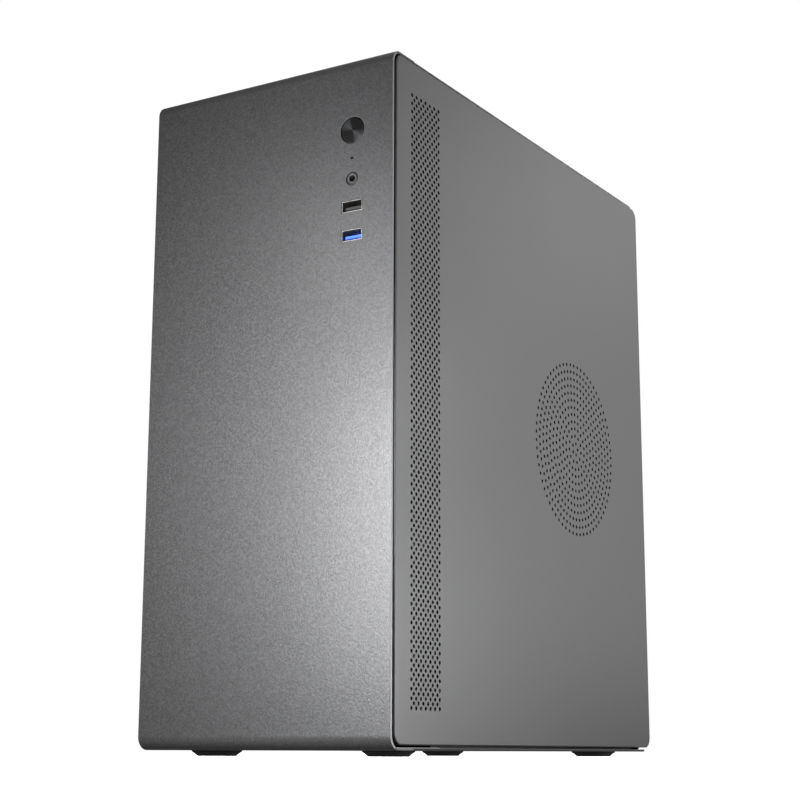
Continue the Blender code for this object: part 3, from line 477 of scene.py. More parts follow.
# Coarse baked powder over steel: a dark grey skin whose rounded grains catch soft glints.
TEXTURED_COAT = TexturedPowderCoat(
    "textured_powder_coat", "#444445", 0.42, 0.35, grain_mm=0.45, grain_depth_mm=0.14, rough_span=0.04
)
# Fine powder coat: an even satin sheen that fades slowly along the sheet.
SATIN_COAT = Finish(
    "satin_powder_coat", "#464647", 0.38, 0.35, grain_mm=0.6,
    grain_depth_mm=0.004, mottle=0.01, mottle_mm=60.0, rough_span=0.008
)
# Dipped epoxy: near black, slightly uneven, with a broad dull highlight.
BLACK_COAT = Finish(
    "black_epoxy_coated_steel", "#2B2C2E", 0.45, 0.3, grain_mm=0.8, grain_depth_mm=0.008, mottle=0.08
)
# Plated sheet: pale grey with faint flat crystals.
ZINC = Galvanised(
    "zinc_plated_steel", "#A6A8AB", 0.38, 0.9,
    spangle_mm=3.0, grain_mm=0.5, grain_depth_mm=0.004, mottle=0.03, rough_span=0.025
)
# Bright zinc: small crisp highlights on every knurl.
SCREW_ZINC = Galvanised(
    "bright_zinc_screw_steel", "#B4B3AE", 0.30, 1.0, spangle_mm=1.2, grain_mm=0.3, grain_depth_mm=0.006
)
# Glass-filled nylon: deep black with a soft, slightly mottled shine.
BLACK_MOULDING = Finish(
    "black_moulded_nylon", "#17181A", 0.48, 0.0, 1.53, grain_mm=0.5, grain_depth_mm=0.012, mottle=0.10
)
# Charcoal polyester: a shade lighter, so that the blades part from their frame.
FAN_MOULDING = Finish(
    "charcoal_moulded_pbt", "#222427", 0.42, 0.0, 1.55,
    grain_mm=0.6, grain_depth_mm=0.01, mottle=0.06, mottle_mm=8.0
)
# Grey ABS: a matt mid grey with fine spark-eroded grain.
GREY_MOULDING = Finish(
    "grey_moulded_abs", "#55565A", 0.50, 0.0, 1.54,
    grain_mm=0.4, grain_depth_mm=0.008, mottle=0.05, mottle_mm=3.0
)
# Dyed nylon: a strong blue that stays bright inside a dark mouth.
BLUE_MOULDING = Finish(
    "blue_moulded_nylon", "#2C56E6", 0.38, 0.0, 1.53,
    grain_mm=0.4, grain_depth_mm=0.006, mottle=0.06, mottle_mm=2.0
)
# Moulded rubber: a dusty, almost shineless dark grey.
FOOT_RUBBER = Finish(
    "moulded_rubber", "#2A2A2C", 0.72, 0.0, 1.52,
    grain_mm=0.9, grain_depth_mm=0.05, mottle=0.35, mottle_mm=0.8
)
# Nickel over rolled steel: warm bright metal with fine lines along the sheet.
SHELL_STEEL = Brushed(
    "nickel_plated_rolled_steel", "#A09E9A", 0.30, 1.0, grain_mm=0.4, grain_depth_mm=0.004, along=Y
)
# Gold plating: small yellow glints on the contacts.
GOLD = Brushed(
    "gold_plated_contact", "#D9B25A", 0.25, 1.0, grain_mm=0.3, grain_depth_mm=0.002, along=Y
)
# Bare extruded aluminium: pale, with drawn lines along the fins.
EXTRUDED = Brushed(
    "extruded_aluminium", "#B7B9BC", 0.34, 1.0, grain_mm=0.5, grain_depth_mm=0.006, along=Z
)
# Die-cast aluminium: a dull pale grey with a sandy skin.
CAST = Finish(
    "die_cast_aluminium", "#9FA1A3", 0.48, 0.95,
    grain_mm=0.9, grain_depth_mm=0.02, mottle=0.08, mottle_mm=6.0
)
# Solder mask over copper: glossy dark green with tracks and pads under it.
BOARD = CircuitBoard("solder_masked_epoxy_board", "#10301D", 0.36, 0.0, 1.52, grain_depth_mm=0.035)
# Smoked acrylic: a dark glassy dot while the light is off.
LIGHT_PIPE = ClearResin(
    "smoked_clear_acrylic", "#15181A", 0.15, 0.0, 1.49, grain_mm=0.5, grain_depth_mm=0.002
)
# Braided sleeve: black crossing strands with a silky shine.
SLEEVE = Braided("braided_nylon_sleeve", "#1B1B1D", 0.6, 0.0, 1.53, grain_depth_mm=0.15)
# Extruded PVC: a smooth black jacket with a soft highlight.
JACKET = Finish(
    "extruded_pvc_jacket", "#161618", 0.42, 0.0, 1.53, grain_mm=1.0, grain_depth_mm=0.01, mottle=0.05
)


# ---- mesh helpers ----------------------------------------------------------------------------
@dataclass(frozen=True)
class Box:
    """The space that one or more CAD nodes fill at rest."""

    low: Vector
    high: Vector

    @classmethod
    def of(cls, *nodes: str) -> "Box":
        """Gives the box around the named CAD nodes."""
        boxes = [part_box(node) for node in nodes]
        low = Vector([min(b[0][i] for b in boxes) for i in range(3)])
        high = Vector([max(b[1][i] for b in boxes) for i in range(3)])
        return cls(low, high)

    @property
    def centre(self) -> Vector:
        """Middle of the box."""
        return (self.low + self.high) / 2

    @property
    def size(self) -> Vector:
        """Lengths of the box's sides."""
        return self.high - self.low


def loop_of(bm: Mesh, points: Iterable[Sequence[float]], closed: bool = True) -> Loop:
    """Lays a chain of edges through points.

    Args:
        bm: Mesh that gets the edges.
        points: Places of the chain's vertices.
        closed: Whether the last point joins the first.

    Returns:
        The chain's edges in order.
    """
    verts = [bm.verts.new(point) for point in points]
    ends = zip(verts, verts[1:] + verts[:1]) if closed else zip(verts, verts[1:])
    return [bm.edges.new(pair) for pair in ends]


def verts_of(geom: Iterable[bmesh.types.BMVert | bmesh.types.BMEdge | bmesh.types.BMFace]) -> Verts:
    """Gives the vertices among or on the given geometry, each once."""
    found: dict[bmesh.types.BMVert, None] = {}
    for item in geom:
        for vert in (item,) if isinstance(item, bmesh.types.BMVert) else item.verts:
            found[vert] = None
    return list(found)


def edges_in(geom: Iterable[object]) -> Loop:
    """Gives the edges among an operator's output."""
    return [item for item in geom if isinstance(item, bmesh.types.BMEdge)]


def faces_in(geom: Iterable[object]) -> list[bmesh.types.BMFace]:
    """Gives the faces among an operator's output."""
    return [item for item in geom if isinstance(item, bmesh.types.BMFace)]


def pull(bm: Mesh, loop: Loop, offset: Sequence[float]) -> Loop:
    """Extrudes a chain of edges by an offset.

    Args:
        bm: Mesh that holds the chain.
        loop: Edges to extrude.
        offset: How far the new chain moves.

    Returns:
        The new chain, away from the old one.
    """
    made = bmesh.ops.extrude_edge_only(bm, edges=loop)["geom"]
    moved = {item for item in made if isinstance(item, bmesh.types.BMVert)}
    bmesh.ops.translate(bm, vec=offset, verts=list(moved))
    return [edge for edge in edges_in(made) if all(v in moved for v in edge.verts)]


def widen(bm: Mesh, loop: Loop, centre: Vector, by: float, axis: int) -> Loop:
    """Extrudes a closed chain away from its centre in its own plane, which gives it a rim of quads.

    Args:
        bm: Mesh that holds the chain.
        loop: Closed chain of edges.
        centre: Middle of the chain.
        by: Width of the rim; a negative one goes inwards.
        axis: The axis that the chain's plane is square to.

    Returns:
        The rim's far chain.
    """
    far = pull(bm, loop, (0, 0, 0))
    for vert in verts_of(far):
        arm = vert.co - centre
        arm[axis] = 0
        vert.co += arm.normalized() * by
    return far


def arc(centre: Spot, radius: float, start: float, end: float, steps: int) -> list[Spot]:
    """Gives points on an arc, both ends included, with angles in degrees.

    Args:
        centre: Middle of the arc.
        radius: Its radius.
        start: Angle in degrees where it starts.
        end: Angle in degrees where it ends.
        steps: Number of its straight steps.

    Returns:
        The points of the arc.
    """
    angles = (math.radians(start + (end - start) * i / steps) for i in range(steps + 1))
    return [(centre[0] + radius * math.cos(a), centre[1] + radius * math.sin(a)) for a in angles]


def rounded(low: Spot, high: Spot, radius: float, steps: int = 4) -> list[Spot]:
    """Gives the anticlockwise outline of a rectangle with round corners.

    Args:
        low: Low corner.
        high: High corner.
        radius: Radius of the corners.
        steps: Straight steps of each corner.

    Returns:
        The outline.
    """
    (x0, y0), (x1, y1) = low, high
    corners = ((x1, y0, -90), (x1, y1, 0), (x0, y1, 90), (x0, y0, 180))
    points = []
    for x, y, start in corners:
        centre = (x + (radius if x == x0 else -radius), y + (radius if y == y0 else -radius))
        points += arc(centre, radius, start, start + 90, steps)
    return points


def add_box(
    bm: Mesh, low: Sequence[float], high: Sequence[float], edge: float = 0.0, segments: int = 2
) -> Verts:
    """Adds a box with rounded edges.

    Args:
        bm: Mesh that gets the box.
        low: Lowest corner.
        high: Highest corner.
        edge: Radius of the rounded edges, or 0 for none.
        segments: Steps of the rounding.

    Returns:
        The box's vertices.
    """
    low, high = Vector(low), Vector(high)
    verts = bmesh.ops.create_cube(bm, size=1)["verts"]
    bmesh.ops.scale(bm, vec=high - low, verts=verts)
    bmesh.ops.translate(bm, vec=(low + high) / 2, verts=verts)
    if not edge:
        return verts
    edges = list({e for v in verts for e in v.link_edges})
    made = bmesh.ops.bevel(
        bm, geom=edges, offset=edge, segments=segments, profile=0.5, affect="EDGES", material=-1
    )
    return verts_of(made["faces"]) + [v for v in verts if v.is_valid and v not in made["verts"]]


def add_turned(
    bm: Mesh,
    profile: Profile,
    centre: Vector,
    axis: Vector,
    segments: int = 48,
    closed: bool = False,
) -> Verts:
    """Adds a profile spun about an axis.

    Args:
        bm: Mesh that gets the turned shape.
        profile: Points as (radius, distance along the axis).
        centre: Point on the axis where the distance is 0.
        axis: Direction of the axis.
        segments: Steps of the full turn.
        closed: Whether the profile's last point joins its first.

    Returns:
        The vertices of the turned shape.
    """
    before = set(bm.verts)
    chain = loop_of(bm, [(radius, 0, along) for radius, along in profile], closed)
    bmesh.ops.spin(
        bm,
        geom=verts_of(chain) + chain,
        cent=(0, 0, 0),
        axis=(0, 0, 1),
        angle=2 * math.pi,
        steps=segments,
        use_merge=True,
    )
    new = [v for v in bm.verts if v not in before]
    bmesh.ops.remove_doubles(bm, verts=new, dist=1e-7)
    new = [v for v in bm.verts if v not in before]
    turn = Z.rotation_difference(axis).to_matrix().to_4x4()
    bmesh.ops.transform(bm, matrix=Matrix.Translation(centre) @ turn, verts=new)
    return new


def soften(
    bm: Mesh, chosen: Callable[[bmesh.types.BMEdge], bool], radius: float, segments: int = 2
) -> None:
    """Rounds every chosen edge.

    Args:
        bm: Mesh to change.
        chosen: Says whether an edge is rounded.
        radius: Radius of the rounding.
        segments: Steps of the rounding.
    """
    edges = [edge for edge in bm.edges if chosen(edge)]
    bmesh.ops.bevel(
        bm, geom=edges, offset=radius, segments=segments, profile=0.5, affect="EDGES", material=-1
    )


def thicken(bm: Mesh, outward: Vector, thickness: float) -> set[bmesh.types.BMVert]:
    """Turns an open skin into a wall, keeping its outer face where it is.

    Args:
        bm: Mesh that holds only the skin.
        outward: Direction that the skin's largest face looks to.
        thickness: Thickness of the wall.

    Returns:
        The vertices of the outer face.
    """
    bmesh.ops.recalc_face_normals(bm, faces=bm.faces)
    largest = max(bm.faces, key=lambda face: face.calc_area())
    if largest.normal.dot(outward) < 0:
        bmesh.ops.reverse_faces(bm, faces=bm.faces)
    outer = set(bm.verts)
    bmesh.ops.solidify(bm, geom=bm.faces, thickness=thickness)
    return outer


def finished(
    bm: Mesh,
    name: str,
    finish: Finish,
    slot: str,
    nodes: Sequence[str] = (),
    body: str = Body.CHASSIS.value,
    smooth: float = 35.0,
    recalculate: bool = True,
) -> Piece:
    """Makes a piece of a mesh: names it, dresses it, and ties it to the CAD model.

    Args:
        bm: The piece's mesh, in place. It is freed.
        name: Name of the piece.
        finish: Its finish.
        slot: Material slot of the record that it takes its finish from; it is not used.
        nodes: CAD nodes that it stands for.
        body: CAD body that it rides on.
        smooth: Edges flatter than this many degrees are shaded round; 0 leaves it faceted.
        recalculate: Whether to turn its faces outwards first.

    Returns:
        The piece.
    """
    if recalculate:
        bmesh.ops.recalc_face_normals(bm, faces=bm.faces)
    mesh = bpy.data.meshes.new(name)
    bm.to_mesh(mesh)
    bm.free()
    mesh.materials.append(finish.material())
    if smooth:
        mesh.shade_smooth()
        mesh.set_sharp_from_angle(angle=math.radians(smooth))
    piece = bpy.data.objects.new(name, mesh)
    bpy.context.scene.collection.objects.link(piece)
    if smooth:
        even = piece.modifiers.new("even_shading", "WEIGHTED_NORMAL")
        even.keep_sharp = True
    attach(piece, body)
    if nodes:
        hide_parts(*nodes)
    LOG.info("%-28s %6d faces on %s", name, len(mesh.polygons), body)
    return piece


def dress_node(node: str, finish: Finish) -> None:
    """Gives a carried-over CAD node its finish."""
    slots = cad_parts[node].material_slots
    for slot in slots:
        slot.material = finish.material()
    LOG.info("%-28s keeps its CAD shape, in %s", node, finish.name)


# ---- outer skins -----------------------------------------------------------------------------
@dataclass
class FrontFascia:
    """C-shaped steel front that runs a little way over the top and under the base."""

    bend_radius: float = 8.0 * MM
    sheet: float = 1.5 * MM
    side_round: float = 0.35 * MM
    rim_round: float = 0.22 * MM
    margin: float = 3.0 * MM
    clearance: float = 0.25 * MM
    button_flange: float = 1.3 * MM
    jack_flange: float = 0.65 * MM
    light_radius: float = 0.95 * MM
    bend_steps: int = 14

    def hole_loops(self, bm: Mesh, front: float) -> Loop:
        """Lays the rims of the five holes of the control column.

        Args:
            bm: Mesh that gets the rims.
            front: Where the front face stands on Y.

        Returns:
            The outer chains of the rims, which the flat face is filled up to.
        """
        button, jack, light = Box.of("power_button"), Box.of("audio_jack"), Box.of("status_light")
        loops: Loop = []
        rounds = (
            (button.centre, button.size.x / 2 - self.button_flange + self.clearance, 64),
            (jack.centre, jack.size.x / 2 - self.jack_flange + self.clearance, 40),
            (light.centre, self.light_radius, 20),
        )
        for centre, radius, segments in rounds:
            centre = Vector((centre.x, front, centre.z))
            place = Matrix.Translation(centre) @ Matrix.Rotation(math.pi / 2, 4, "X")
            circle = bmesh.ops.create_circle(
                bm, cap_ends=False, radius=radius, segments=segments, matrix=place
            )
            ring = list({e for v in circle["verts"] for e in v.link_edges})
            loops += widen(bm, ring, centre, 3 * self.rim_round, 1)
        for node in ("usb2_shell", "usb3_shell"):
            shell = Box.of(node)
            grow = Vector((self.clearance, 0, self.clearance))
            low, high = shell.low - grow, shell.high + grow
            outline = rounded((low.x, low.z), (high.x, high.z), 0.8 * MM, 3)
            ring = loop_of(bm, [(x, front, z) for x, z in outline])
            far = rounded(
                (low.x - 3 * self.rim_round, low.z - 3 * self.rim_round),
                (high.x + 3 * self.rim_round, high.z + 3 * self.rim_round),
                0.8 * MM + 3 * self.rim_round,
                3,
            )
            wide = loop_of(bm, [(x, front, z) for x, z in far])
            bmesh.ops.bridge_loops(bm, edges=ring + wide)
            loops += wide
        return loops

    def build(self) -> Piece:
        """Builds and dresses the fascia.

        Returns:
            The fascia.
        """
        box = Box.of("front_panel")
        front, half = box.low.y, box.high.x
        z0, z1 = box.low.z + self.bend_radius, box.high.z - self.bend_radius
        reach = half - self.margin
        bm = bmesh.new()
        outline = loop_of(
            bm, [(-reach, front, z0), (reach, front, z0), (reach, front, z1), (-reach, front, z1)]
        )
        loops = self.hole_loops(bm, front)
        bmesh.ops.triangle_fill(bm, use_beauty=True, use_dissolve=False, edges=outline + loops)
        pull(bm, [outline[1]], (self.margin, 0, 0))
        pull(bm, [outline[3]], (-self.margin, 0, 0))
        for height, turn in ((z1, -1), (z0, 1)):
            ends = [
                e for e in bm.edges if all(abs(v.co.z - height) < SAME for v in e.verts) and e.is_boundary
            ]
            bend = bmesh.ops.spin(
                bm,
                geom=verts_of(ends) + ends,
                cent=(0, front + self.bend_radius, height),
                axis=X,
                angle=turn * math.pi / 2,
                steps=self.bend_steps,
                use_merge=False,
            )
            pull(bm, edges_in(bend["geom_last"]), (0, box.high.y - front - self.bend_radius, 0))
        outer = thicken(bm, -Y, self.sheet)

        def on_side(edge: bmesh.types.BMEdge) -> bool:
            """Whether the edge runs along one side of the outer face."""
            return all(v in outer and abs(abs(v.co.x) - half) < SAME for v in edge.verts)

        soften(bm, on_side, self.side_round, 3)

        def on_rim(edge: bmesh.types.BMEdge) -> bool:
            """Whether the edge is a hole's rim on the outer face."""
            inside = all(v in outer and v.co.y < front + SAME and abs(v.co.x) < reach for v in edge.verts)
            return inside and edge.calc_face_angle(0.0) > 1.0

        soften(bm, on_rim, self.rim_round, 2)
        # The side edge strip near the front face gets the painted highlight.
        coat = replace(TEXTURED_COAT, painted_highlight_from_x=half - self.side_round / 2, painted_highlight_to_y=front + 3 * self.sheet)
        return finished(bm, "front_fascia", coat, "textured_paint", ["front_panel"], recalculate=False)


@dataclass
class Cover:
    """Top or base sheet, with a round bend down to the rear wall."""

    node: str
    up: int
    bend_radius: float = 8.0 * MM
    sheet: float = 1.5 * MM
    side_round: float = 1.1 * MM
    notch_half: float = 80.4 * MM
    bend_steps: int = 14

    def build(self) -> Piece:
        """Builds and dresses the cover.

        Returns:
            The cover.
        """
        box, front = Box.of(self.node), Box.of("front_panel")
        half, start = box.high.x, front.high.y + 0.03 * MM
        outer_z = box.high.z if self.up > 0 else box.low.z
        bend_start = box.high.y - self.bend_radius
        bm = bmesh.new()
        chain = loop_of(
            bm, [(x, start, outer_z) for x in (-half, -self.notch_half, self.notch_half, half)], False
        )
        far = pull(bm, chain, (0, bend_start - start, 0))
        middle = [e for e in far if all(abs(v.co.x) < self.notch_half + SAME for v in e.verts)]
        bmesh.ops.spin(
            bm,
            geom=verts_of(middle) + middle,
            cent=(0, bend_start, outer_z - self.up * self.bend_radius),
            axis=X,
            angle=-self.up * math.pi / 2,
            steps=self.bend_steps,
            use_merge=False,
        )
        outer = thicken(bm, self.up * Z, self.sheet)

        def on_side(edge: bmesh.types.BMEdge) -> bool:
            """Whether the edge runs along one side of the outer face."""
            return all(v in outer and abs(abs(v.co.x) - half) < SAME for v in edge.verts)

        soften(bm, on_side, self.side_round, 3)
        return finished(
            bm, f"{self.node}_sheet", SATIN_COAT, "smooth_paint", [self.node], recalculate=False
        )


@dataclass
class SidePanel:
    """Pressed side panel: a perforated strip, a round vent, a rolled rim and a screw flange."""

    side: Side
    sheet: float = 0.8 * MM
    corner: float = 7.0 * MM
    rim_radius: float = 0.8 * MM
    rim_margin: float = 4.5 * MM
    hem: float = 6.6 * MM
    flange: float = 14.4 * MM
    flange_inset: float = 10.0 * MM
    screw_hole: float = 2.2 * MM
    hole_sides: int = 10
    hole_radius: float = 1.18 * MM
    strip_start: float = 17.5 * MM  # first column behind the panel's leading edge
    strip_pitch: float = 5.14 * MM
    strip_columns: int = 7
    strip_low: float = 20.0 * MM  # lowest row above the panel's lower edge
    strip_rows: int = 139
    vent_radii: tuple[float, ...] = (
        3.91, 9.0, 13.9, 18.65, 23.55, 28.4, 33.3, 38.1, 42.9, 47.7, 52.6, 57.45
    )
    vent_counts: tuple[int, ...] = (5, 11, 18, 24, 30, 36, 43, 49, 55, 62, 68, 66)
    vent_starts: tuple[float, ...] = (0.4, 24.3, 10.1, 14.8, 5.8, 9.7, 6.0, 1.6, 4.7, 2.7, 5.1, 2.5)

    def hole_centres(self, box: Box) -> list[Spot]:
        """Lists the centres of the punched holes.

        Args:
            box: The panel's CAD box.

        Returns:
            The y and z of each hole.
        """
        centres = []
        for row in range(self.strip_rows):
            odd = row % 2
            for column in range(self.strip_columns - odd):
                y = box.low.y + self.strip_start + (column + odd / 2) * self.strip_pitch
                centres.append((y, box.low.z + self.strip_low + row * self.strip_pitch / 2))
        vent = Box.of("cooler_fan_rotor").centre
        for radius, count, start in zip(self.vent_radii, self.vent_counts, self.vent_starts):
            for index in range(count):
                angle = math.radians(start) + 2 * math.pi * index / count
                centres.append(
                    (vent.y + radius * MM * math.cos(angle), vent.z + radius * MM * math.sin(angle))
                )
        return centres

    def face(self, bm: Mesh, box: Box, x: float) -> Loop:
        """Fills the panel's flat face around its holes.

        Args:
            bm: Mesh that gets the face.
            box: The panel's CAD box.
            x: Where the face stands on X.

        Returns:
            The face's outer chain of edges.
        """
        low, high = (box.low.y, box.low.z), (box.high.y, box.high.z)
        outer = loop_of(bm, [(x, y, z) for y, z in rounded(low, high, self.corner, 8)])
        m = self.rim_margin
        inside = rounded((low[0] + m, low[1] + m), (high[0] - m, high[1] - m), self.corner - m, 8)
        inner = loop_of(bm, [(x, y, z) for y, z in inside])
        bmesh.ops.bridge_loops(bm, edges=outer + inner)
        rims = list(inner)
        turn = Matrix.Rotation(math.pi / 2, 4, "Y") @ Matrix.Rotation(0.05, 4, "Z")
        for y, z in self.hole_centres(box):
            hole = bmesh.ops.create_circle(
                bm,
                cap_ends=False,
                radius=self.hole_radius,
                segments=self.hole_sides,
                matrix=Matrix.Translation((x, y, z)) @ turn,
            )
            rims += list({e for v in hole["verts"] for e in v.link_edges})
        bmesh.ops.triangle_fill(bm, use_beauty=True, use_dissolve=False, edges=rims)
        return outer

    def screw_flange(self, bm: Mesh, hem: Loop) -> None:
        """Turns the rear hem in to a flange with its two screw holes.

        Args:
            bm: Mesh that holds the hem.
            hem: Far chain of the hem.
        """
        rear = max(hem, key=lambda e: sum(v.co.y for v in e.verts) + e.calc_length())
        lip = pull(bm, [rear], (self.hem - self.flange, 0, 0))[0]
        middle = sum(v.co.z for v in lip.verts) / 2
        for vert in lip.verts:
            vert.co.z += self.flange_inset if vert.co.z < middle else -self.flange_inset
        web = lip.link_faces[0]
        rims = list(web.edges)
        bmesh.ops.delete(bm, geom=[web], context="FACES_ONLY")
        for level in ("lower", "upper"):
            screw = Box.of(f"thumbscrew_right_{level}").centre
            centre = Vector((screw.x, lip.verts[0].co.y, screw.z))
            place = Matrix.Translation(centre) @ Matrix.Rotation(math.pi / 2, 4, "X")
            hole = bmesh.ops.create_circle(
                bm, cap_ends=False, radius=self.screw_hole, segments=24, matrix=place
            )
            rims += list({e for v in hole["verts"] for e in v.link_edges})
        bmesh.ops.triangle_fill(bm, use_beauty=True, use_dissolve=False, edges=rims)

    def build(self) -> Piece:
        """Builds the right-hand panel, turns it over for the left, and dresses it.

        Returns:
            The panel.
        """
        node = f"{self.side.name.lower()}_side_panel"
        box = Box.of("right_side_panel")
        x = box.high.x
        bm = bmesh.new()
        outer = self.face(bm, box, x)
        hem = pull(bm, outer, (-self.hem, 0, 0))
        rims = set(outer)
        self.screw_flange(bm, hem)
        soften(bm, lambda e: e in rims, self.rim_radius, 5)
        thicken(bm, X, self.sheet)
        if self.side is Side.LEFT:
            bmesh.ops.scale(bm, vec=(-1, 1, 1), verts=bm.verts)
            bmesh.ops.reverse_faces(bm, faces=bm.faces)
        return finished(
            bm, f"{node}_pressing", SATIN_COAT, "smooth_paint", [node], body=node, recalculate=False
        )


@dataclass
class Foot:
    """Round moulded foot: a cone under the base with a recess around its screw."""

    node: str
    taper: float = 3.2 * MM
    recess_radius: float = 7.6 * MM
    recess: float = 1.2 * MM
    screw_radius: float = 3.3 * MM

    def build(self) -> Piece:
        """Builds and dresses the foot.

        Returns:
            The foot.
        """
        box = Box.of(self.node)
        top = Box.of("base_cover").low.z
        radius = box.size.x / 2
        sole = radius - self.taper
        profile = [
            (0, self.recess + 0.1 * MM),
            (self.screw_radius - 0.5 * MM, self.recess + 0.1 * MM),
            (self.screw_radius, self.recess + 0.4 * MM),
            (self.screw_radius + 0.2 * MM, self.recess),
            (self.recess_radius - 0.4 * MM, self.recess),
            (self.recess_radius, 0.3 * MM),
            (self.recess_radius + 0.35 * MM, 0),
            (sole - 0.5 * MM, 0),
            (sole - 0.1 * MM, 0.15 * MM),
            (sole + 0.15 * MM, 0.5 * MM),
            (radius - 0.25 * MM, top - 0.75 * MM),
            (radius, top - 0.45 * MM),
            (radius, top),
            (0, top),
        ]
        bm = bmesh.new()
        add_turned(bm, profile, Vector((box.centre.x, box.centre.y, 0)), Z, 64)
        return finished(bm, f"{self.node}_cone", FOOT_RUBBER, "rubber", [self.node])


# ---- front controls --------------------------------------------------------------------------
@dataclass
class PowerButton:
    """Lathe-faced metal cap with a dimple at its centre, on a stem behind the fascia."""

    flange: float = 1.3 * MM
    face: float = 0.3 * MM
    chamfer: float = 0.6 * MM
    groove_radii: tuple[float, ...] = (6.55, 5.2, 3.9, 2.6, 1.4)
    groove: float = 0.06 * MM
    dimple: float = 0.45 * MM

    def build(self) -> Piece:
        """Builds and dresses the cap.

        Returns:
            The cap.
        """
        box = Box.of("power_button")
        front = Box.of("front_panel").low.y
        radius = box.size.x / 2 - self.flange
        profile = [(0, self.face + 0.25 * MM), (self.dimple, self.face)]
        for ring in reversed(self.groove_radii):
            for step, depth in ((-0.16, 0.0), (0.0, self.groove), (0.16, 0.0)):
                profile.append(((ring + step) * MM, self.face + depth))
        profile += [
            (radius - self.chamfer, self.face),
            (radius - self.chamfer * 0.35, self.face + 0.12 * MM),
            (radius, self.face + self.chamfer * 0.8),
            (radius, 2.2 * MM),
            (radius + self.flange, 2.2 * MM),
            (radius + self.flange, 3.4 * MM),
            (2.5 * MM, 3.4 * MM),
            (2.5 * MM, 10.6 * MM),
            (2.1 * MM, 11.0 * MM),
            (0, 11.0 * MM),
        ]
        centre = Vector((box.centre.x, front, box.centre.z))
        metal = FaceTurned("lathe_faced_aluminium", "#5C5C5E", 0.30, 1.0, mottle=0.22, centre=centre)
        bm = bmesh.new()
        add_turned(bm, profile, centre, Y, 96)
        return finished(
            bm,
            "power_button_cap",
            metal,
            "turned_metal",
            ["power_button"],
            body=Body.BUTTON.value,
            smooth=28,
        )


@dataclass
class HeadsetJack:
    """Moulded collar around a 3.5 mm bore, with a plated ring in its mouth."""

    collar: float = 3.85 * MM
    bore: float = 1.85 * MM
    bore_depth: float = 15.0 * MM
    mouth: float = 2.25 * MM
    ring: float = 0.2 * MM

    def build(self) -> list[Piece]:
        """Builds and dresses the socket and the plated ring in its mouth.

        Returns:
            The socket and its ring.
        """
        box = Box.of("audio_jack")
        front = Box.of("front_panel").low.y
        depth = box.high.y - front
        body = box.size.x / 2
        bm = bmesh.new()
        profile = [
            (self.bore, 1.1 * MM),
            (self.mouth - 0.1 * MM, 0.45 * MM),
            (self.mouth + 0.15 * MM, 0.3 * MM),
            (self.collar - 0.45 * MM, 0.3 * MM),
            (self.collar - 0.1 * MM, 0.4 * MM),
            (self.collar, 0.7 * MM),
            (self.collar, 3.0 * MM),
            (body, 3.4 * MM),
            (body, depth),
            (0, depth),
            (0, self.bore_depth),
            (self.bore, self.bore_depth),
        ]
        centre = Vector((box.centre.x, front, box.centre.z))
        add_turned(bm, profile + profile[:1], centre, Y, 48)
        socket = finished(bm, "headset_jack_collar", BLACK_MOULDING, "grey_plastic", ["audio_jack"])
        bm = bmesh.new()
        inner, outer, start, end = self.mouth, self.mouth + self.ring, 0.15 * MM, 0.9 * MM
        ring = [(inner, start), (outer, start), (outer, end), (inner, end)]
        add_turned(bm, ring, centre, Y, 48, closed=True)
        plated = finished(bm, "headset_jack_ring", SHELL_STEEL, "nickel")
        return [socket, plated]


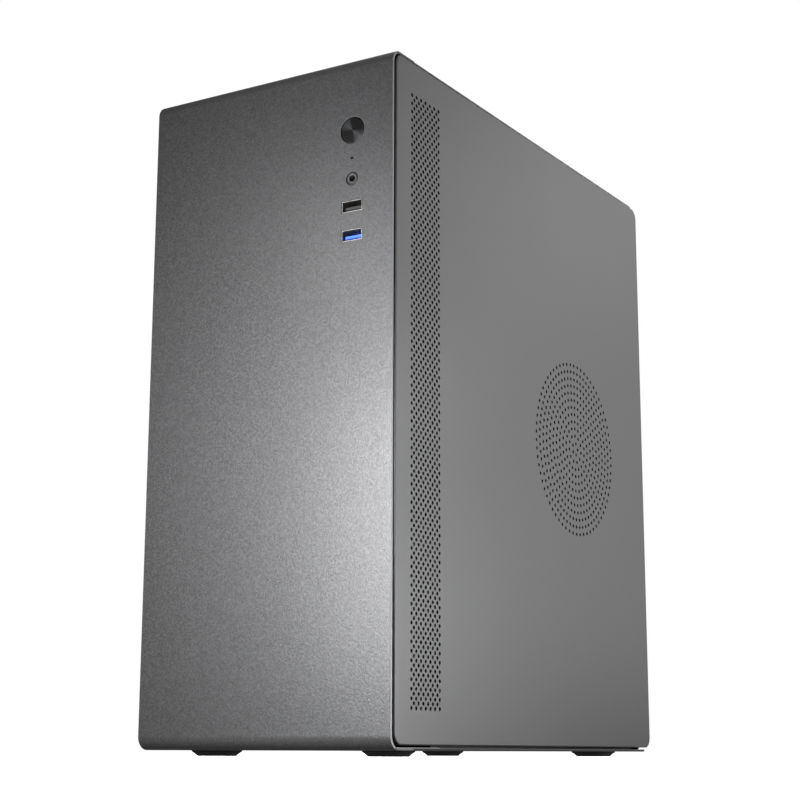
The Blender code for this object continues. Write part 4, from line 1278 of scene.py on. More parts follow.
@dataclass
class UsbSocket:
    """Type A socket: a folded shell, a tongue and its plated contacts."""

    label: str
    tongue: Finish
    tongue_slot: str
    contacts: int
    wall: float = 0.4 * MM
    corner: float = 0.7 * MM
    tongue_low: float = -1.5 * MM
    tongue_high: float = 0.25 * MM
    tongue_root: float = 5.0 * MM
    contact_pitch: float = 2.33 * MM
    contact_half: float = 0.5 * MM

    def shell(self, box: Box) -> Piece:
        """Builds the folded shell around an open mouth.

        Args:
            box: The shell's CAD box.

        Returns:
            The shell.
        """
        bm = bmesh.new()
        y0, w = box.low.y, self.wall
        outside = rounded((box.low.x, box.low.z), (box.high.x, box.high.z), self.corner, 4)
        inside = rounded(
            (box.low.x + w, box.low.z + w), (box.high.x - w, box.high.z - w), self.corner - w, 4
        )
        rings = [loop_of(bm, [(x, y0, z) for x, z in line]) for line in (outside, inside)]
        bmesh.ops.bridge_loops(bm, edges=rings[0] + rings[1])
        made = bmesh.ops.extrude_face_region(bm, geom=bm.faces[:])["geom"]
        back = [v for v in made if isinstance(v, bmesh.types.BMVert)]
        bmesh.ops.translate(bm, vec=(0, box.size.y, 0), verts=back)

        def at_mouth(edge: bmesh.types.BMEdge) -> bool:
            """Whether an edge is a sharp one of the mouth."""
            return all(abs(v.co.y - y0) < SAME for v in edge.verts) and edge.calc_face_angle(0) > 1

        soften(bm, at_mouth, 0.1 * MM, 2)
        return finished(bm, f"{self.label}_socket_shell", SHELL_STEEL, "nickel", [f"{self.label}_shell"])

    def build(self) -> list[Piece]:
        """Builds and dresses the shell, the tongue and the contacts.

        Returns:
            The shell, the tongue and the contacts.
        """
        shell, blade = Box.of(f"{self.label}_shell"), Box.of(f"{self.label}_tongue")
        pieces = [self.shell(shell)]
        bm = bmesh.new()
        rear = blade.high.y - self.tongue_root
        bottom, top = shell.centre.z + self.tongue_low, shell.centre.z + self.tongue_high
        add_box(bm, (blade.low.x, rear, blade.low.z), blade.high, 0.1 * MM)
        high = (blade.high.x - 0.3 * MM, rear + 1 * MM, top)
        add_box(bm, (blade.low.x + 0.3 * MM, blade.low.y, bottom), high, 0.25 * MM)
        pieces.append(
            finished(
                bm, f"{self.label}_socket_tongue", self.tongue, self.tongue_slot, [f"{self.label}_tongue"]
            )
        )
        bm = bmesh.new()
        half = self.contact_half
        for index in range(self.contacts):
            x = shell.centre.x + (index - (self.contacts - 1) / 2) * self.contact_pitch
            low = (x - half, blade.low.y + 0.7 * MM, top - 0.1 * MM)
            add_box(bm, low, (x + half, rear, top + 0.12 * MM), 0.08 * MM)
        pieces.append(finished(bm, f"{self.label}_socket_contacts", GOLD, "nickel"))
        return pieces


@dataclass
class StatusLight:
    """Clear light pipe with a domed end behind its small hole."""

    radius: float = 0.8 * MM

    def build(self) -> Piece:
        """Builds and dresses the light pipe.

        Returns:
            The light pipe.
        """
        box = Box.of("status_light")
        length = box.size.y
        profile = [
            (0, 0.1 * MM),
            (self.radius * 0.55, 0.2 * MM),
            (self.radius, 0.6 * MM),
            (self.radius, length),
            (0, length),
        ]
        bm = bmesh.new()
        add_turned(bm, profile, Vector((box.centre.x, box.low.y, box.centre.z)), Y, 24)
        return finished(bm, "status_light_pipe", LIGHT_PIPE, "clear_plastic", ["status_light"])


# ---- punched and pocketed shapes -------------------------------------------------------------
def circle(centre: Spot, radius: float, sides: int = 24) -> list[Spot]:
    """Gives the outline of a circle, turned a little so that rows of circles never line up."""
    return arc(centre, radius, 3, 363, sides)[:-1]


def oblong(low: Spot, high: Spot, radius: float = 0.8 * MM) -> list[Spot]:
    """Gives the outline of a rectangle with small round corners."""
    return rounded(low, high, radius, 2)


def honeycomb(
    pitch: float, radius: float, inside: Callable[[float, float], bool], span: float
) -> list[Spot]:
    """Lists the centres of a staggered pattern of holes around the origin.

    Args:
        pitch: Distance between neighbours.
        radius: Radius of a hole.
        inside: Says whether a hole may stand at a place.
        span: Half the width that is looked over.

    Returns:
        The centres that are allowed.
    """
    rows = int(span / (pitch * HEX_ROW)) + 1
    columns = int(span / pitch) + 1
    found = []
    for row in range(-rows, rows + 1):
        for column in range(-columns, columns + 1):
            place = ((column + (row % 2) / 2) * pitch + radius * 0.01, row * pitch * HEX_ROW)
            if inside(*place):
                found.append(place)
    return found


def add_plate(bm: Mesh, axis: int, start: float, end: float, outlines: Sequence[Profile]) -> Verts:
    """Adds a flat plate with holes.

    Args:
        bm: Mesh that gets the plate.
        axis: Index of the axis that the plate is square to.
        start: Where one face stands on that axis.
        end: Where the other face stands.
        outlines: The plate's outline and then those of its holes.

    Returns:
        The plate's vertices.
    """
    before = set(bm.verts)
    rims: Loop = []
    for outline in outlines:
        rims += loop_of(bm, [(*point[:axis], start, *point[axis:]) for point in outline])
    made = faces_in(bmesh.ops.triangle_fill(bm, use_beauty=True, use_dissolve=False, edges=rims)["geom"])
    pushed = bmesh.ops.extrude_face_region(bm, geom=made)["geom"]
    step = Vector([end - start if i == axis else 0 for i in range(3)])
    bmesh.ops.translate(bm, vec=step, verts=[v for v in pushed if isinstance(v, bmesh.types.BMVert)])
    return [v for v in bm.verts if v not in before]


def add_pocketed(
    bm: Mesh,
    axis: int,
    face: float,
    back: float,
    outline: Profile,
    pockets: Sequence[tuple[Profile, float]],
) -> None:
    """Adds a block with pockets sunk into its face.

    Args:
        bm: Mesh that gets the block.
        axis: Index of the axis that the face is square to.
        face: Where the face stands on that axis.
        back: Where the back stands.
        outline: The block's outline.
        pockets: Outline of each pocket and where its floor stands.
    """
    outer = loop_of(bm, [(*point[:axis], face, *point[axis:]) for point in outline])
    rims = list(outer)
    floors = [(outer, back)]
    for pocket, floor in pockets:
        rim = loop_of(bm, [(*point[:axis], face, *point[axis:]) for point in pocket])
        rims += rim
        floors.append((rim, floor))
    bmesh.ops.triangle_fill(bm, use_beauty=True, use_dissolve=False, edges=rims)
    for rim, floor in floors:
        step = Vector([floor - face if i == axis else 0 for i in range(3)])
        bmesh.ops.contextual_create(bm, geom=pull(bm, rim, step))


# ---- rear wall -------------------------------------------------------------------------------
@dataclass
class RearWall:
    """Rear sheet with its openings, a punched fan grille and the grille's screw holes."""

    psu_rim: float = 4.0 * MM
    clearance: float = 0.3 * MM
    grille_hole: float = 2.35 * MM
    grille_pitch: float = 5.6 * MM
    fan_screw: float = 41.25 * MM
    fan_screw_hole: float = 2.2 * MM
    slot_width: float = 12.5 * MM
    slot_lap: float = 4.0 * MM
    screw_hole: float = 2.0 * MM

    def openings(self) -> list[Profile]:
        """Lists the openings in the wall.

        Returns:
            Their outlines in X and Z.
        """
        psu, shield, fan = Box.of("psu_case"), Box.of("io_shield"), Box.of("rear_fan_frame")
        rim, c = self.psu_rim, self.clearance
        holes = [
            oblong((psu.low.x + rim, psu.low.z + rim), (psu.high.x - rim, psu.high.z - rim), 2 * MM),
            oblong((shield.low.x - c, shield.low.z - c), (shield.high.x + c, shield.high.z + c)),
        ]
        for index in range(1, 5):
            cover = Box.of(f"slot_cover_{index}")
            low = (cover.low.x + self.slot_lap, cover.centre.z - self.slot_width / 2)
            high = (cover.high.x - self.slot_lap, cover.centre.z + self.slot_width / 2)
            holes.append(oblong(low, high, 1.5 * MM))
        reach = fan.size.x / 2 - 2 * MM - self.grille_hole

        def in_bore(x: float, z: float) -> bool:
            """Whether a grille hole stands inside the fan's bore."""
            return math.hypot(x, z) < reach

        for x, z in honeycomb(self.grille_pitch, self.grille_hole, in_bore, reach):
            holes.append(circle((fan.centre.x + x, fan.centre.z + z), self.grille_hole, 6))
        for side in (-1, 1):
            for up in (-1, 1):
                place = (fan.centre.x + side * self.fan_screw, fan.centre.z + up * self.fan_screw)
                holes.append(circle(place, self.fan_screw_hole))
            for level in ("lower", "upper"):
                screw = Box.of(f"thumbscrew_right_{level}").centre
                holes.append(circle((side * screw.x, screw.z), self.screw_hole))
        return holes

    def build(self) -> Piece:
        """Builds and dresses the wall.

        Returns:
            The wall.
        """
        box = Box.of("rear_wall")
        outline = oblong((box.low.x, box.low.z), (box.high.x, box.high.z), 2 * MM)
        bm = bmesh.new()
        add_plate(bm, 1, box.low.y, box.high.y, [outline, *self.openings()])
        return finished(bm, "rear_wall_sheet", BLACK_COAT, "dark_steel", ["rear_wall"])


@dataclass
class PortBank:
    """Pressed shield and the sockets behind it: paired shells with tongues, and a row of round jacks."""

    wall: float = 1.3 * MM
    pocket: float = 10.0 * MM
    first: float = 1.2 * MM
    step: float = 13.2 * MM
    base: float = 6.0 * MM
    board_gap: float = 0.8 * MM
    tongue: float = 1.6 * MM
    clearance: float = 0.3 * MM
    sheet: float = 0.5 * MM
    bead: float = 2.2 * MM
    rim_inset: float = 0.7 * MM
    rim_wall: float = 0.9 * MM
    rim_reach: float = 35.5 * MM
    jack_pitch: float = 11.0 * MM
    jack_bore: float = 1.85 * MM
    jack_set_back: float = 0.4 * MM
    # radius and distance from the jack's face, in millimetres, of a jack's collar
    jack_collar: Profile = ((2.1, 0), (3.6, 0), (3.6, 0.3), (3.3, 0.5), (2.1, 0.5))
    # z low, z high, and how far each block reaches from the board's face; the heights are the
    # CAD port bank's own
    blocks: tuple[Point, ...] = (
        (0.2850, 0.3010, 0.0320),
        (0.2480, 0.2800, 0.0260),
        (0.2265, 0.2425, 0.0300),
        (0.2045, 0.2215, 0.0290),
    )
    jacks: Point = (0.1500, 0.1640, 0.0340)

    def shield(self, face: float) -> Piece:
        """Builds the shield around the sockets.

        Args:
            face: Where the board's component side stands on X.

        Returns:
            The shield.
        """
        box = Box.of("io_shield")
        c = self.clearance
        holes = [
            oblong((face - depth - c, low - c), (face - 0.5 * MM, high + c), 0.4 * MM)
            for low, high, depth in (*self.blocks, self.jacks)
        ]
        outline = oblong((box.low.x, box.low.z), (box.high.x, box.high.z), 1.2 * MM)
        bm = bmesh.new()
        add_plate(bm, 1, box.low.y, box.low.y + self.sheet, [outline, *holes])
        low = (box.low.x + self.rim_inset, box.low.z + self.bead)
        high = (face - self.rim_reach, box.high.z - self.bead)
        t = self.rim_wall
        hollow = oblong((low[0] + t, low[1] + MM), (high[0] - t, high[1] - MM), 0.4 * MM)
        add_plate(bm, 1, box.low.y + 0.4 * MM, box.high.y, [oblong(low, high, 0.6 * MM), hollow])
        return finished(bm, "io_shield_pressing", ZINC, "zinc_steel", ["io_shield"])

    def pairs(self, shells: Mesh, tongues: Mesh, bank: Box, face: float) -> None:
        """Adds the base, the blocks of paired sockets and their tongues.

        Args:
            shells: Mesh that gets the base and the blocks.
            tongues: Mesh that gets the tongues.
            bank: The CAD box of the port bank.
            face: Where the board's component side stands on X.
        """
        rear = bank.high.y
        low = (bank.high.x - self.base, bank.low.y, bank.low.z)
        add_box(shells, low, (bank.high.x, rear - 2 * MM, bank.high.z), 0.3 * MM)
        for low, high, depth in self.blocks:
            x0, x1 = face - depth, bank.high.x - self.board_gap
            pockets = []
            for index in range(2):
                start = x0 + self.first + index * self.step
                mouth = oblong((start, low + self.wall), (start + self.pocket, high - self.wall), 0.6 * MM)
                pockets.append((mouth, rear - self.pocket))
                blade = start + 0.35 * self.pocket
                lift = 2.4 * self.wall
                add_box(
                    tongues,
                    (blade, rear - self.pocket - 0.3 * MM, low + lift),
                    (blade + self.tongue, rear - 1.5 * MM, high - lift),
                    0.3 * MM,
                )
            add_pocketed(shells, 1, rear, bank.low.y, oblong((x0, low), (x1, high), 0.5 * MM), pockets)

    def build(self) -> list[Piece]:
        """Builds and dresses the bank.

        Returns:
            The shield, the shells, the tongues with the jacks' collars, and the jacks.
        """
        bank = Box.of("rear_ports")
        face = Box.of("motherboard").low.x
        shells, tongues, jacks = bmesh.new(), bmesh.new(), bmesh.new()
        self.pairs(shells, tongues, bank, face)
        front = bank.high.y - self.jack_set_back
        low, high, depth = self.jacks
        collar = [(radius * MM, out * MM) for radius, out in self.jack_collar]
        mouths = []
        for index in range(3):
            place = (face - depth + (index + 0.5) * self.jack_pitch, (low + high) / 2)
            mouths.append((circle(place, self.jack_bore, 20), bank.high.y - self.pocket))
            centre = Vector((place[0], front - 0.15 * MM, place[1]))
            add_turned(tongues, collar, centre, Y, 24, closed=True)
        outline = oblong((face - depth, low), (bank.high.x - self.board_gap, high), 0.5 * MM)
        add_pocketed(jacks, 1, front, bank.low.y, outline, mouths)
        return [
            self.shield(face),
            finished(shells, "rear_socket_shells", SHELL_STEEL, "nickel", ["rear_ports"]),
            finished(tongues, "rear_socket_tongues", BLUE_MOULDING, "blue_plastic"),
            finished(jacks, "rear_jack_block", BLACK_MOULDING, "black_plastic"),
        ]


@dataclass
class SlotCover:
    """Blanking plate of one card slot: vent slits, a rolled edge and a bent tab with its screw notch."""

    node: str
    plate: float = 0.9 * MM
    tab: float = 1.0 * MM
    margin: float = 8.0 * MM
    slits: int = 6
    slit: tuple[float, float] = (12.0 * MM, 2.2 * MM)
    rows: tuple[float, ...] = (-3.4 * MM, 0.0, 3.4 * MM)
    notch: float = 1.8 * MM
    notch_at: float = 4.5 * MM

    def build(self) -> Piece:
        """Builds and dresses the cover.

        Returns:
            The cover.
        """
        box = Box.of(self.node)
        plate = box.high.y - self.plate
        half_x, half_z = self.slit[0] / 2, self.slit[1] / 2
        pitch = (box.size.x - 2 * self.margin) / self.slits
        holes = []
        for row in self.rows:
            for index in range(self.slits):
                x = box.low.x + self.margin + (index + 0.5) * pitch
                z = box.centre.z + row
                holes.append(oblong((x - half_x, z - half_z), (x + half_x, z + half_z), 1.0 * MM))
        bm = bmesh.new()
        outline = oblong((box.low.x, box.low.z), (box.high.x, box.high.z), 1.2 * MM)
        add_plate(bm, 1, plate, box.high.y, [outline, *holes])
        outline = oblong((box.low.y, box.low.z), (plate + 0.3 * MM, box.high.z), 1.2 * MM)
        notch = circle((box.low.y + self.notch_at, box.centre.z), self.notch, 16)
        add_plate(bm, 0, box.low.x, box.low.x + self.tab, [outline, notch])
        return finished(bm, f"{self.node}_plate", ZINC, "zinc_steel", [self.node])


@dataclass
class Thumbscrew:
    """Knurled screw with a cross recess, a threaded shank, and its captive washer."""

    label: str
    teeth: int = 30
    tooth: float = 0.45 * MM
    dish: float = 4.1 * MM
    crown: float = 3.9 * MM
    collar: float = 4.3 * MM
    thread_root: float = 1.35 * MM
    thread_crest: float = 1.68 * MM
    pitch: float = 0.794 * MM
    recess: tuple[float, float] = (2.9 * MM, 0.5 * MM)
    recess_turn: float = 0.4  # radians
    recess_depth: float = 1.7 * MM
    washer_bore: float = 2.0 * MM
    washer_edge: float = 0.15 * MM

    def knurls(self, centre: Vector, radius: float) -> list[Spot]:
        """Gives the head's toothed outline.

        Args:
            centre: Middle of the head.
            radius: Radius over the teeth.

        Returns:
            The outline in X and Z.
        """
        points = []
        for index in range(2 * self.teeth):
            angle = math.pi * index / self.teeth
            reach = radius - (0.02 * MM if index % 2 else self.tooth)
            points.append((centre.x + reach * math.cos(angle), centre.z + reach * math.sin(angle)))
        return points

    def cross(self, centre: Vector) -> list[Spot]:
        """Gives the outline of the recess in the head.

        Args:
            centre: Middle of the head.

        Returns:
            The outline in X and Z.
        """
        arm, half = self.recess
        points = []
        for turn in range(4):
            angle = turn * math.pi / 2 + self.recess_turn
            cos, sin = math.cos(angle), math.sin(angle)
            for along, side in ((half, -half), (arm, -half), (arm, half)):
                points.append((centre.x + along * cos - side * sin, centre.z + along * sin + side * cos))
        return points

    def thread(self, length: float) -> list[Spot]:
        """Gives the shank's profile, with the thread's ridges drawn as rings.

        Args:
            length: Length of the shank.

        Returns:
            The profile as radius and distance from the tip.
        """
        profile = [(0, 0), (1.1 * MM, 0)]
        along = 0.4 * MM
        while along < length - 1.2 * MM:
            profile += [(self.thread_root, along), (self.thread_crest, along + self.pitch / 2)]
            along += self.pitch
        return profile + [(1.4 * MM, along), (1.4 * MM, length + 0.3 * MM), (0, length + 0.3 * MM)]

    def build(self) -> list[Piece]:
        """Builds and dresses the screw and the washer.

        Returns:
            The screw and the washer.
        """
        node, ring = f"thumbscrew_{self.label}", f"washer_{self.label}"
        box, washer = Box.of(node), Box.of(ring)
        centre = box.centre
        middle = (centre.x, centre.z)
        face, seat = box.high.y, washer.high.y + 0.3 * MM
        bm = bmesh.new()
        dish = (circle(middle, self.dish), face - 0.5 * MM)
        add_pocketed(bm, 1, face - 0.3 * MM, seat + 0.4 * MM, self.knurls(centre, box.size.x / 2), [dish])
        recess = (self.cross(centre), face - self.recess_depth)
        add_pocketed(bm, 1, face, face - 2.6 * MM, circle(middle, self.crown, 40), [recess])
        foot = [(0, 0), (self.crown, 0), (self.collar, 0.6 * MM), (0, 0.6 * MM)]
        add_turned(bm, foot, Vector((centre.x, seat, centre.z)), Y, 32)
        tip = Vector((centre.x, box.low.y, centre.z))
        add_turned(bm, self.thread(seat - box.low.y), tip, Y, 24)
        screw = finished(bm, f"{node}_body", SCREW_ZINC, "zinc_steel", [node], body=node, smooth=28)
        bm = bmesh.new()
        inner, outer, thick = self.washer_bore, washer.size.x / 2, washer.size.y
        profile = [
            (inner, 0),
            (outer - self.washer_edge, 0),
            (outer, thick * 0.3),
            (outer, thick * 0.7),
            (outer - self.washer_edge, thick),
            (inner, thick),
        ]
        add_turned(bm, profile, Vector((centre.x, washer.low.y, centre.z)), Y, 40, closed=True)
        return [screw, finished(bm, f"{ring}_disc", BLACK_MOULDING, "black_plastic", [ring], body=ring)]


# ---- fans ------------------------------------------------------------------------------------
@dataclass
class Fan:
    """Square fan: a flanged frame with a motor seat on four struts, and a rotor with swept blades."""

    label: str
    axis: Vector
    framed: bool = True
    wall: float = 2.2 * MM
    flange: float = 3.6 * MM
    tube: float = 1.6 * MM
    screw: float = 0.4484  # screw place as a share of the fan's size
    screw_hole: float = 2.1 * MM
    seat: float = 0.19  # motor seat's radius as a share of the fan's size
    hub: float = 0.18  # hub's radius as a share of the fan's size
    tip_gap: float = 1.2 * MM
    blades: int = 7
    sweep: float = 24.0  # degrees that a blade's tip lags behind its root
    span: float = 41.0  # degrees that one blade covers
    blade: float = 1.3 * MM
    camber: float = 1.2 * MM
    strut: float = 3.2 * MM
    struts: tuple[int, ...] = (20, 110, 200, 290)  # degrees

    def frame(self, place: Matrix, size: float, depth: float) -> Piece:
        """Builds the frame about +Z and moves it to its place.

        Args:
            place: Turn and move from the fan's own axes.
            size: Width of the fan.
            depth: Thickness of the fan.

        Returns:
            The frame.
        """
        half, bore = size / 2, size / 2 - self.wall
        bm = bmesh.new()
        outline = rounded((-half, -half), (half, half), 4 * MM, 4)
        reach = self.screw * size
        corners = [(x, y) for x in (-reach, reach) for y in (-reach, reach)]
        screws = [circle(corner, self.screw_hole, 16) for corner in corners]
        for start in (-depth / 2, depth / 2 - self.flange):
            add_plate(bm, 2, start, start + self.flange, [outline, circle((0, 0), bore, 72), *screws])
        outer = bore + self.tube
        tube = [(bore, -depth / 2), (outer, -depth / 2), (outer, depth / 2), (bore, depth / 2)]
        add_turned(bm, tube, Vector((0, 0, 0)), Z, 72, closed=True)
        seat = size * self.seat
        low, high = depth / 2 - 3.5 * MM, depth / 2 - 0.4 * MM
        profile = [
            (0, low), (seat, low), (seat, high - 0.5 * MM), (seat - 0.5 * MM, high), (seat * 0.6, high)
        ]
        profile += [(seat * 0.6 - 0.2 * MM, high - 0.2 * MM), (0, high - 0.2 * MM)]
        add_turned(bm, profile, Vector((0, 0, 0)), Z, 48)
        for turn in self.struts:
            made = add_box(
                bm,
                (seat - 1 * MM, -self.strut / 2, low + 0.5 * MM),
                (bore + 0.8 * MM, self.strut / 2, high - 0.4 * MM),
                0.5 * MM,
            )
            spoke = Matrix.Rotation(math.radians(turn), 3, "Z")
            bmesh.ops.rotate(bm, cent=(0, 0, 0), matrix=spoke, verts=made)
        bmesh.ops.transform(bm, matrix=place, verts=bm.verts)
        node = f"{self.label}_fan_frame"
        return finished(bm, f"{node}_moulding", BLACK_MOULDING, "black_plastic", [node])

    def rotor(self, place: Matrix, size: float, depth: float) -> Piece:
        """Builds the rotor about +Z and moves it to its place.

        Args:
            place: Turn and move from the fan's own axes.
            size: Width of the fan.
            depth: Thickness of the fan.

        Returns:
            The rotor.
        """
        hub = size * self.hub
        tip = size / 2 - self.wall - self.tip_gap
        low, high = -depth / 2 + 1.5 * MM, depth / 2 - 4.5 * MM
        bm = bmesh.new()
        for index in range(self.blades):
            made = bmesh.ops.create_grid(bm, x_segments=8, y_segments=8, size=0.5)["verts"]
            for vert in made:
                out, across = vert.co.x + 0.5, vert.co.y
                radius = hub - 0.6 * MM + (tip - hub + 0.6 * MM) * out
                turn = 360 * index / self.blades + self.sweep * out * out + across * self.span
                rise = (high - low - 1.4 * MM) * (0.82 + 0.18 * math.cos(math.pi * (out - 0.4)))
                bend = self.camber * (1 - 4 * across * across)
                angle = math.radians(turn)
                height = (low + high) / 2 + across * rise + bend / 2
                vert.co = (radius * math.cos(angle), radius * math.sin(angle), height)
            made_faces = list({f for v in made for f in v.link_faces})
            bmesh.ops.solidify(bm, geom=made_faces, thickness=self.blade)
        profile = [
            (0, low),
            (hub - 1.6 * MM, low),
            (hub - 0.5 * MM, low + 0.35 * MM),
            (hub, low + 1.3 * MM),
            (hub, high),
            (hub - 1.2 * MM, high),
            (hub - 1.2 * MM, high - 1 * MM),
            (0, high - 1 * MM),
        ]
        add_turned(bm, profile, Vector((0, 0, 0)), Z, 56)
        bmesh.ops.transform(bm, matrix=place, verts=bm.verts)
        node = f"{self.label}_fan_rotor"
        return finished(bm, f"{node}_moulding", FAN_MOULDING, "black_plastic", [node], body=node)

    def build(self) -> list[Piece]:
        """Builds and dresses the fan.

        Returns:
            The frame, where it has one, and the rotor.
        """
        rotor = Box.of(f"{self.label}_fan_rotor")
        axis = max(range(3), key=lambda i: abs(self.axis[i]))
        depth = rotor.size[axis] + 6.0 * MM
        across = max(rotor.size[i] for i in range(3) if i != axis)
        size = round((across + 2 * (self.wall + self.tip_gap)) / MM) * MM
        centre = rotor.centre + self.axis * 1.5 * MM
        pieces = []
        if self.framed:
            box = Box.of(f"{self.label}_fan_frame")
            size, depth, centre = max(box.size), box.size[axis], box.centre
        place = Matrix.Translation(centre) @ Z.rotation_difference(self.axis).to_matrix().to_4x4()
        if self.framed:
            pieces.append(self.frame(place, size, depth))
        pieces.append(self.rotor(place, size, depth))
        return pieces


# ---- power supply ----------------------------------------------------------------------------
@dataclass
class PowerSupply:
    """Folded steel case with a punched rear grille, its appliance inlet and the inlet's pins."""

    sheet: float = 1.0 * MM
    fan_hole: float = 57.0 * MM
    vent_hole: float = 2.6 * MM
    vent_pitch: float = 6.2 * MM
    vent_margin: float = 8.0 * MM
    vent_gap: float = 5.6 * MM
    lead_hole: float = 9.0 * MM
    lead_at: float = 30.0 * MM
    clearance: float = 0.3 * MM
    # half width, half height and cut corners of the inlet's well
    well: Point = (11.9 * MM, 8.0 * MM, 4.0 * MM)
    # x and z of each pin from the inlet's middle, in millimetres
    pins: tuple[Spot, ...] = ((-7, -2), (0, 2), (7, -2))
    pin: tuple[float, float] = (1.0 * MM, 2.0 * MM)

    def case(self) -> Piece:
        """Builds the case out of its folded sheets.

        Returns:
            The case.
        """
        box, inlet, rocker = Box.of("psu_case"), Box.of("mains_inlet"), Box.of("psu_rocker")
        fan = Box.of("psu_fan_rotor").centre
        t, low, high = self.sheet, box.low, box.high
        c = self.clearance
        # the rocker pivots level with the inlet's middle, and needs as much room on both sides of it
        pivot = inlet.centre.z
        reach = max(rocker.high.z - pivot, pivot - rocker.low.z) + 2 * c
        around = [
            oblong((inlet.low.x - c, inlet.low.z - c), (inlet.high.x + c, inlet.high.z + c)),
            oblong((rocker.low.x - 2 * c, pivot - reach), (rocker.high.x + 2 * c, pivot + reach)),
        ]
        middle = box.centre

        def allowed(x: float, z: float) -> bool:
            """Whether a vent hole stands clear of the rim, the inlet and the rocker."""
            x, z = middle.x + x, middle.z + z
            m, gap = self.vent_margin, self.vent_gap
            on_face = low.x + m < x < high.x - m and low.z + m < z < high.z - m
            near = any(
                item.low.x - gap < x < item.high.x + gap and item.low.z - gap < z < item.high.z + gap
                for item in (inlet, rocker)
            )
            return on_face and not near

        for x, z in honeycomb(self.vent_pitch, self.vent_hole, allowed, box.size.x / 2):
            around.append(circle((middle.x + x, middle.z + z), self.vent_hole, 6))
        bm = bmesh.new()
        face = oblong((low.x, low.z), (high.x, high.z), 1.2 * MM)
        add_plate(bm, 1, high.y - t, high.y, [face, *around])
        lead = circle((high.x - self.lead_at, low.z + self.lead_at), self.lead_hole)
        add_plate(bm, 1, low.y, low.y + t, [face, lead])
        floor = oblong((low.x, low.y), (high.x, high.y), 1.2 * MM)
        add_plate(bm, 2, low.z, low.z + t, [floor, circle((fan.x, fan.y), self.fan_hole, 96)])
        add_plate(bm, 2, high.z - t, high.z, [floor])
        side = oblong((low.y, low.z), (high.y, high.z), 1.2 * MM)
        for start in (low.x, high.x - t):
            add_plate(bm, 0, start, start + t, [side])
        return finished(bm, "psu_case_pressing", BLACK_COAT, "dark_steel", ["psu_case"])

    def inlet(self) -> list[Piece]:
        """Builds the inlet's housing, whose well has two cut corners, and its three pins.

        Returns:
            The housing and the pins.
        """
        box = Box.of("mains_inlet")
        rear, mid = box.high.y, box.centre
        wx, wz, cut = self.well
        well = [
            (mid.x - wx, mid.z - wz),
            (mid.x + wx, mid.z - wz),
            (mid.x + wx, mid.z + wz - cut),
            (mid.x + wx - cut, mid.z + wz),
            (mid.x - wx + cut, mid.z + wz),
            (mid.x - wx, mid.z + wz - cut),
        ]
        bm = bmesh.new()
        outline = oblong((box.low.x, box.low.z), (box.high.x, box.high.z), 1.5 * MM)
        add_pocketed(bm, 1, rear, box.low.y, outline, [(well, box.low.y + 3.5 * MM)])
        housing = finished(bm, "mains_inlet_housing", BLACK_MOULDING, "black_plastic", ["mains_inlet"])
        bm = bmesh.new()
        half_x, half_z = self.pin
        for dx, dz in self.pins:
            x, z = mid.x + dx * MM, mid.z + dz * MM
            low = (x - half_x, box.low.y + 3 * MM, z - half_z)
            add_box(bm, low, (x + half_x, rear - 3 * MM, z + half_z), 0.35 * MM)
        return [housing, finished(bm, "mains_inlet_pins", SHELL_STEEL, "nickel")]

    def build(self) -> list[Piece]:
        """Builds and dresses the case and the inlet.

        Returns:
            The case, the inlet and its pins.
        """
        return [self.case(), *self.inlet()]


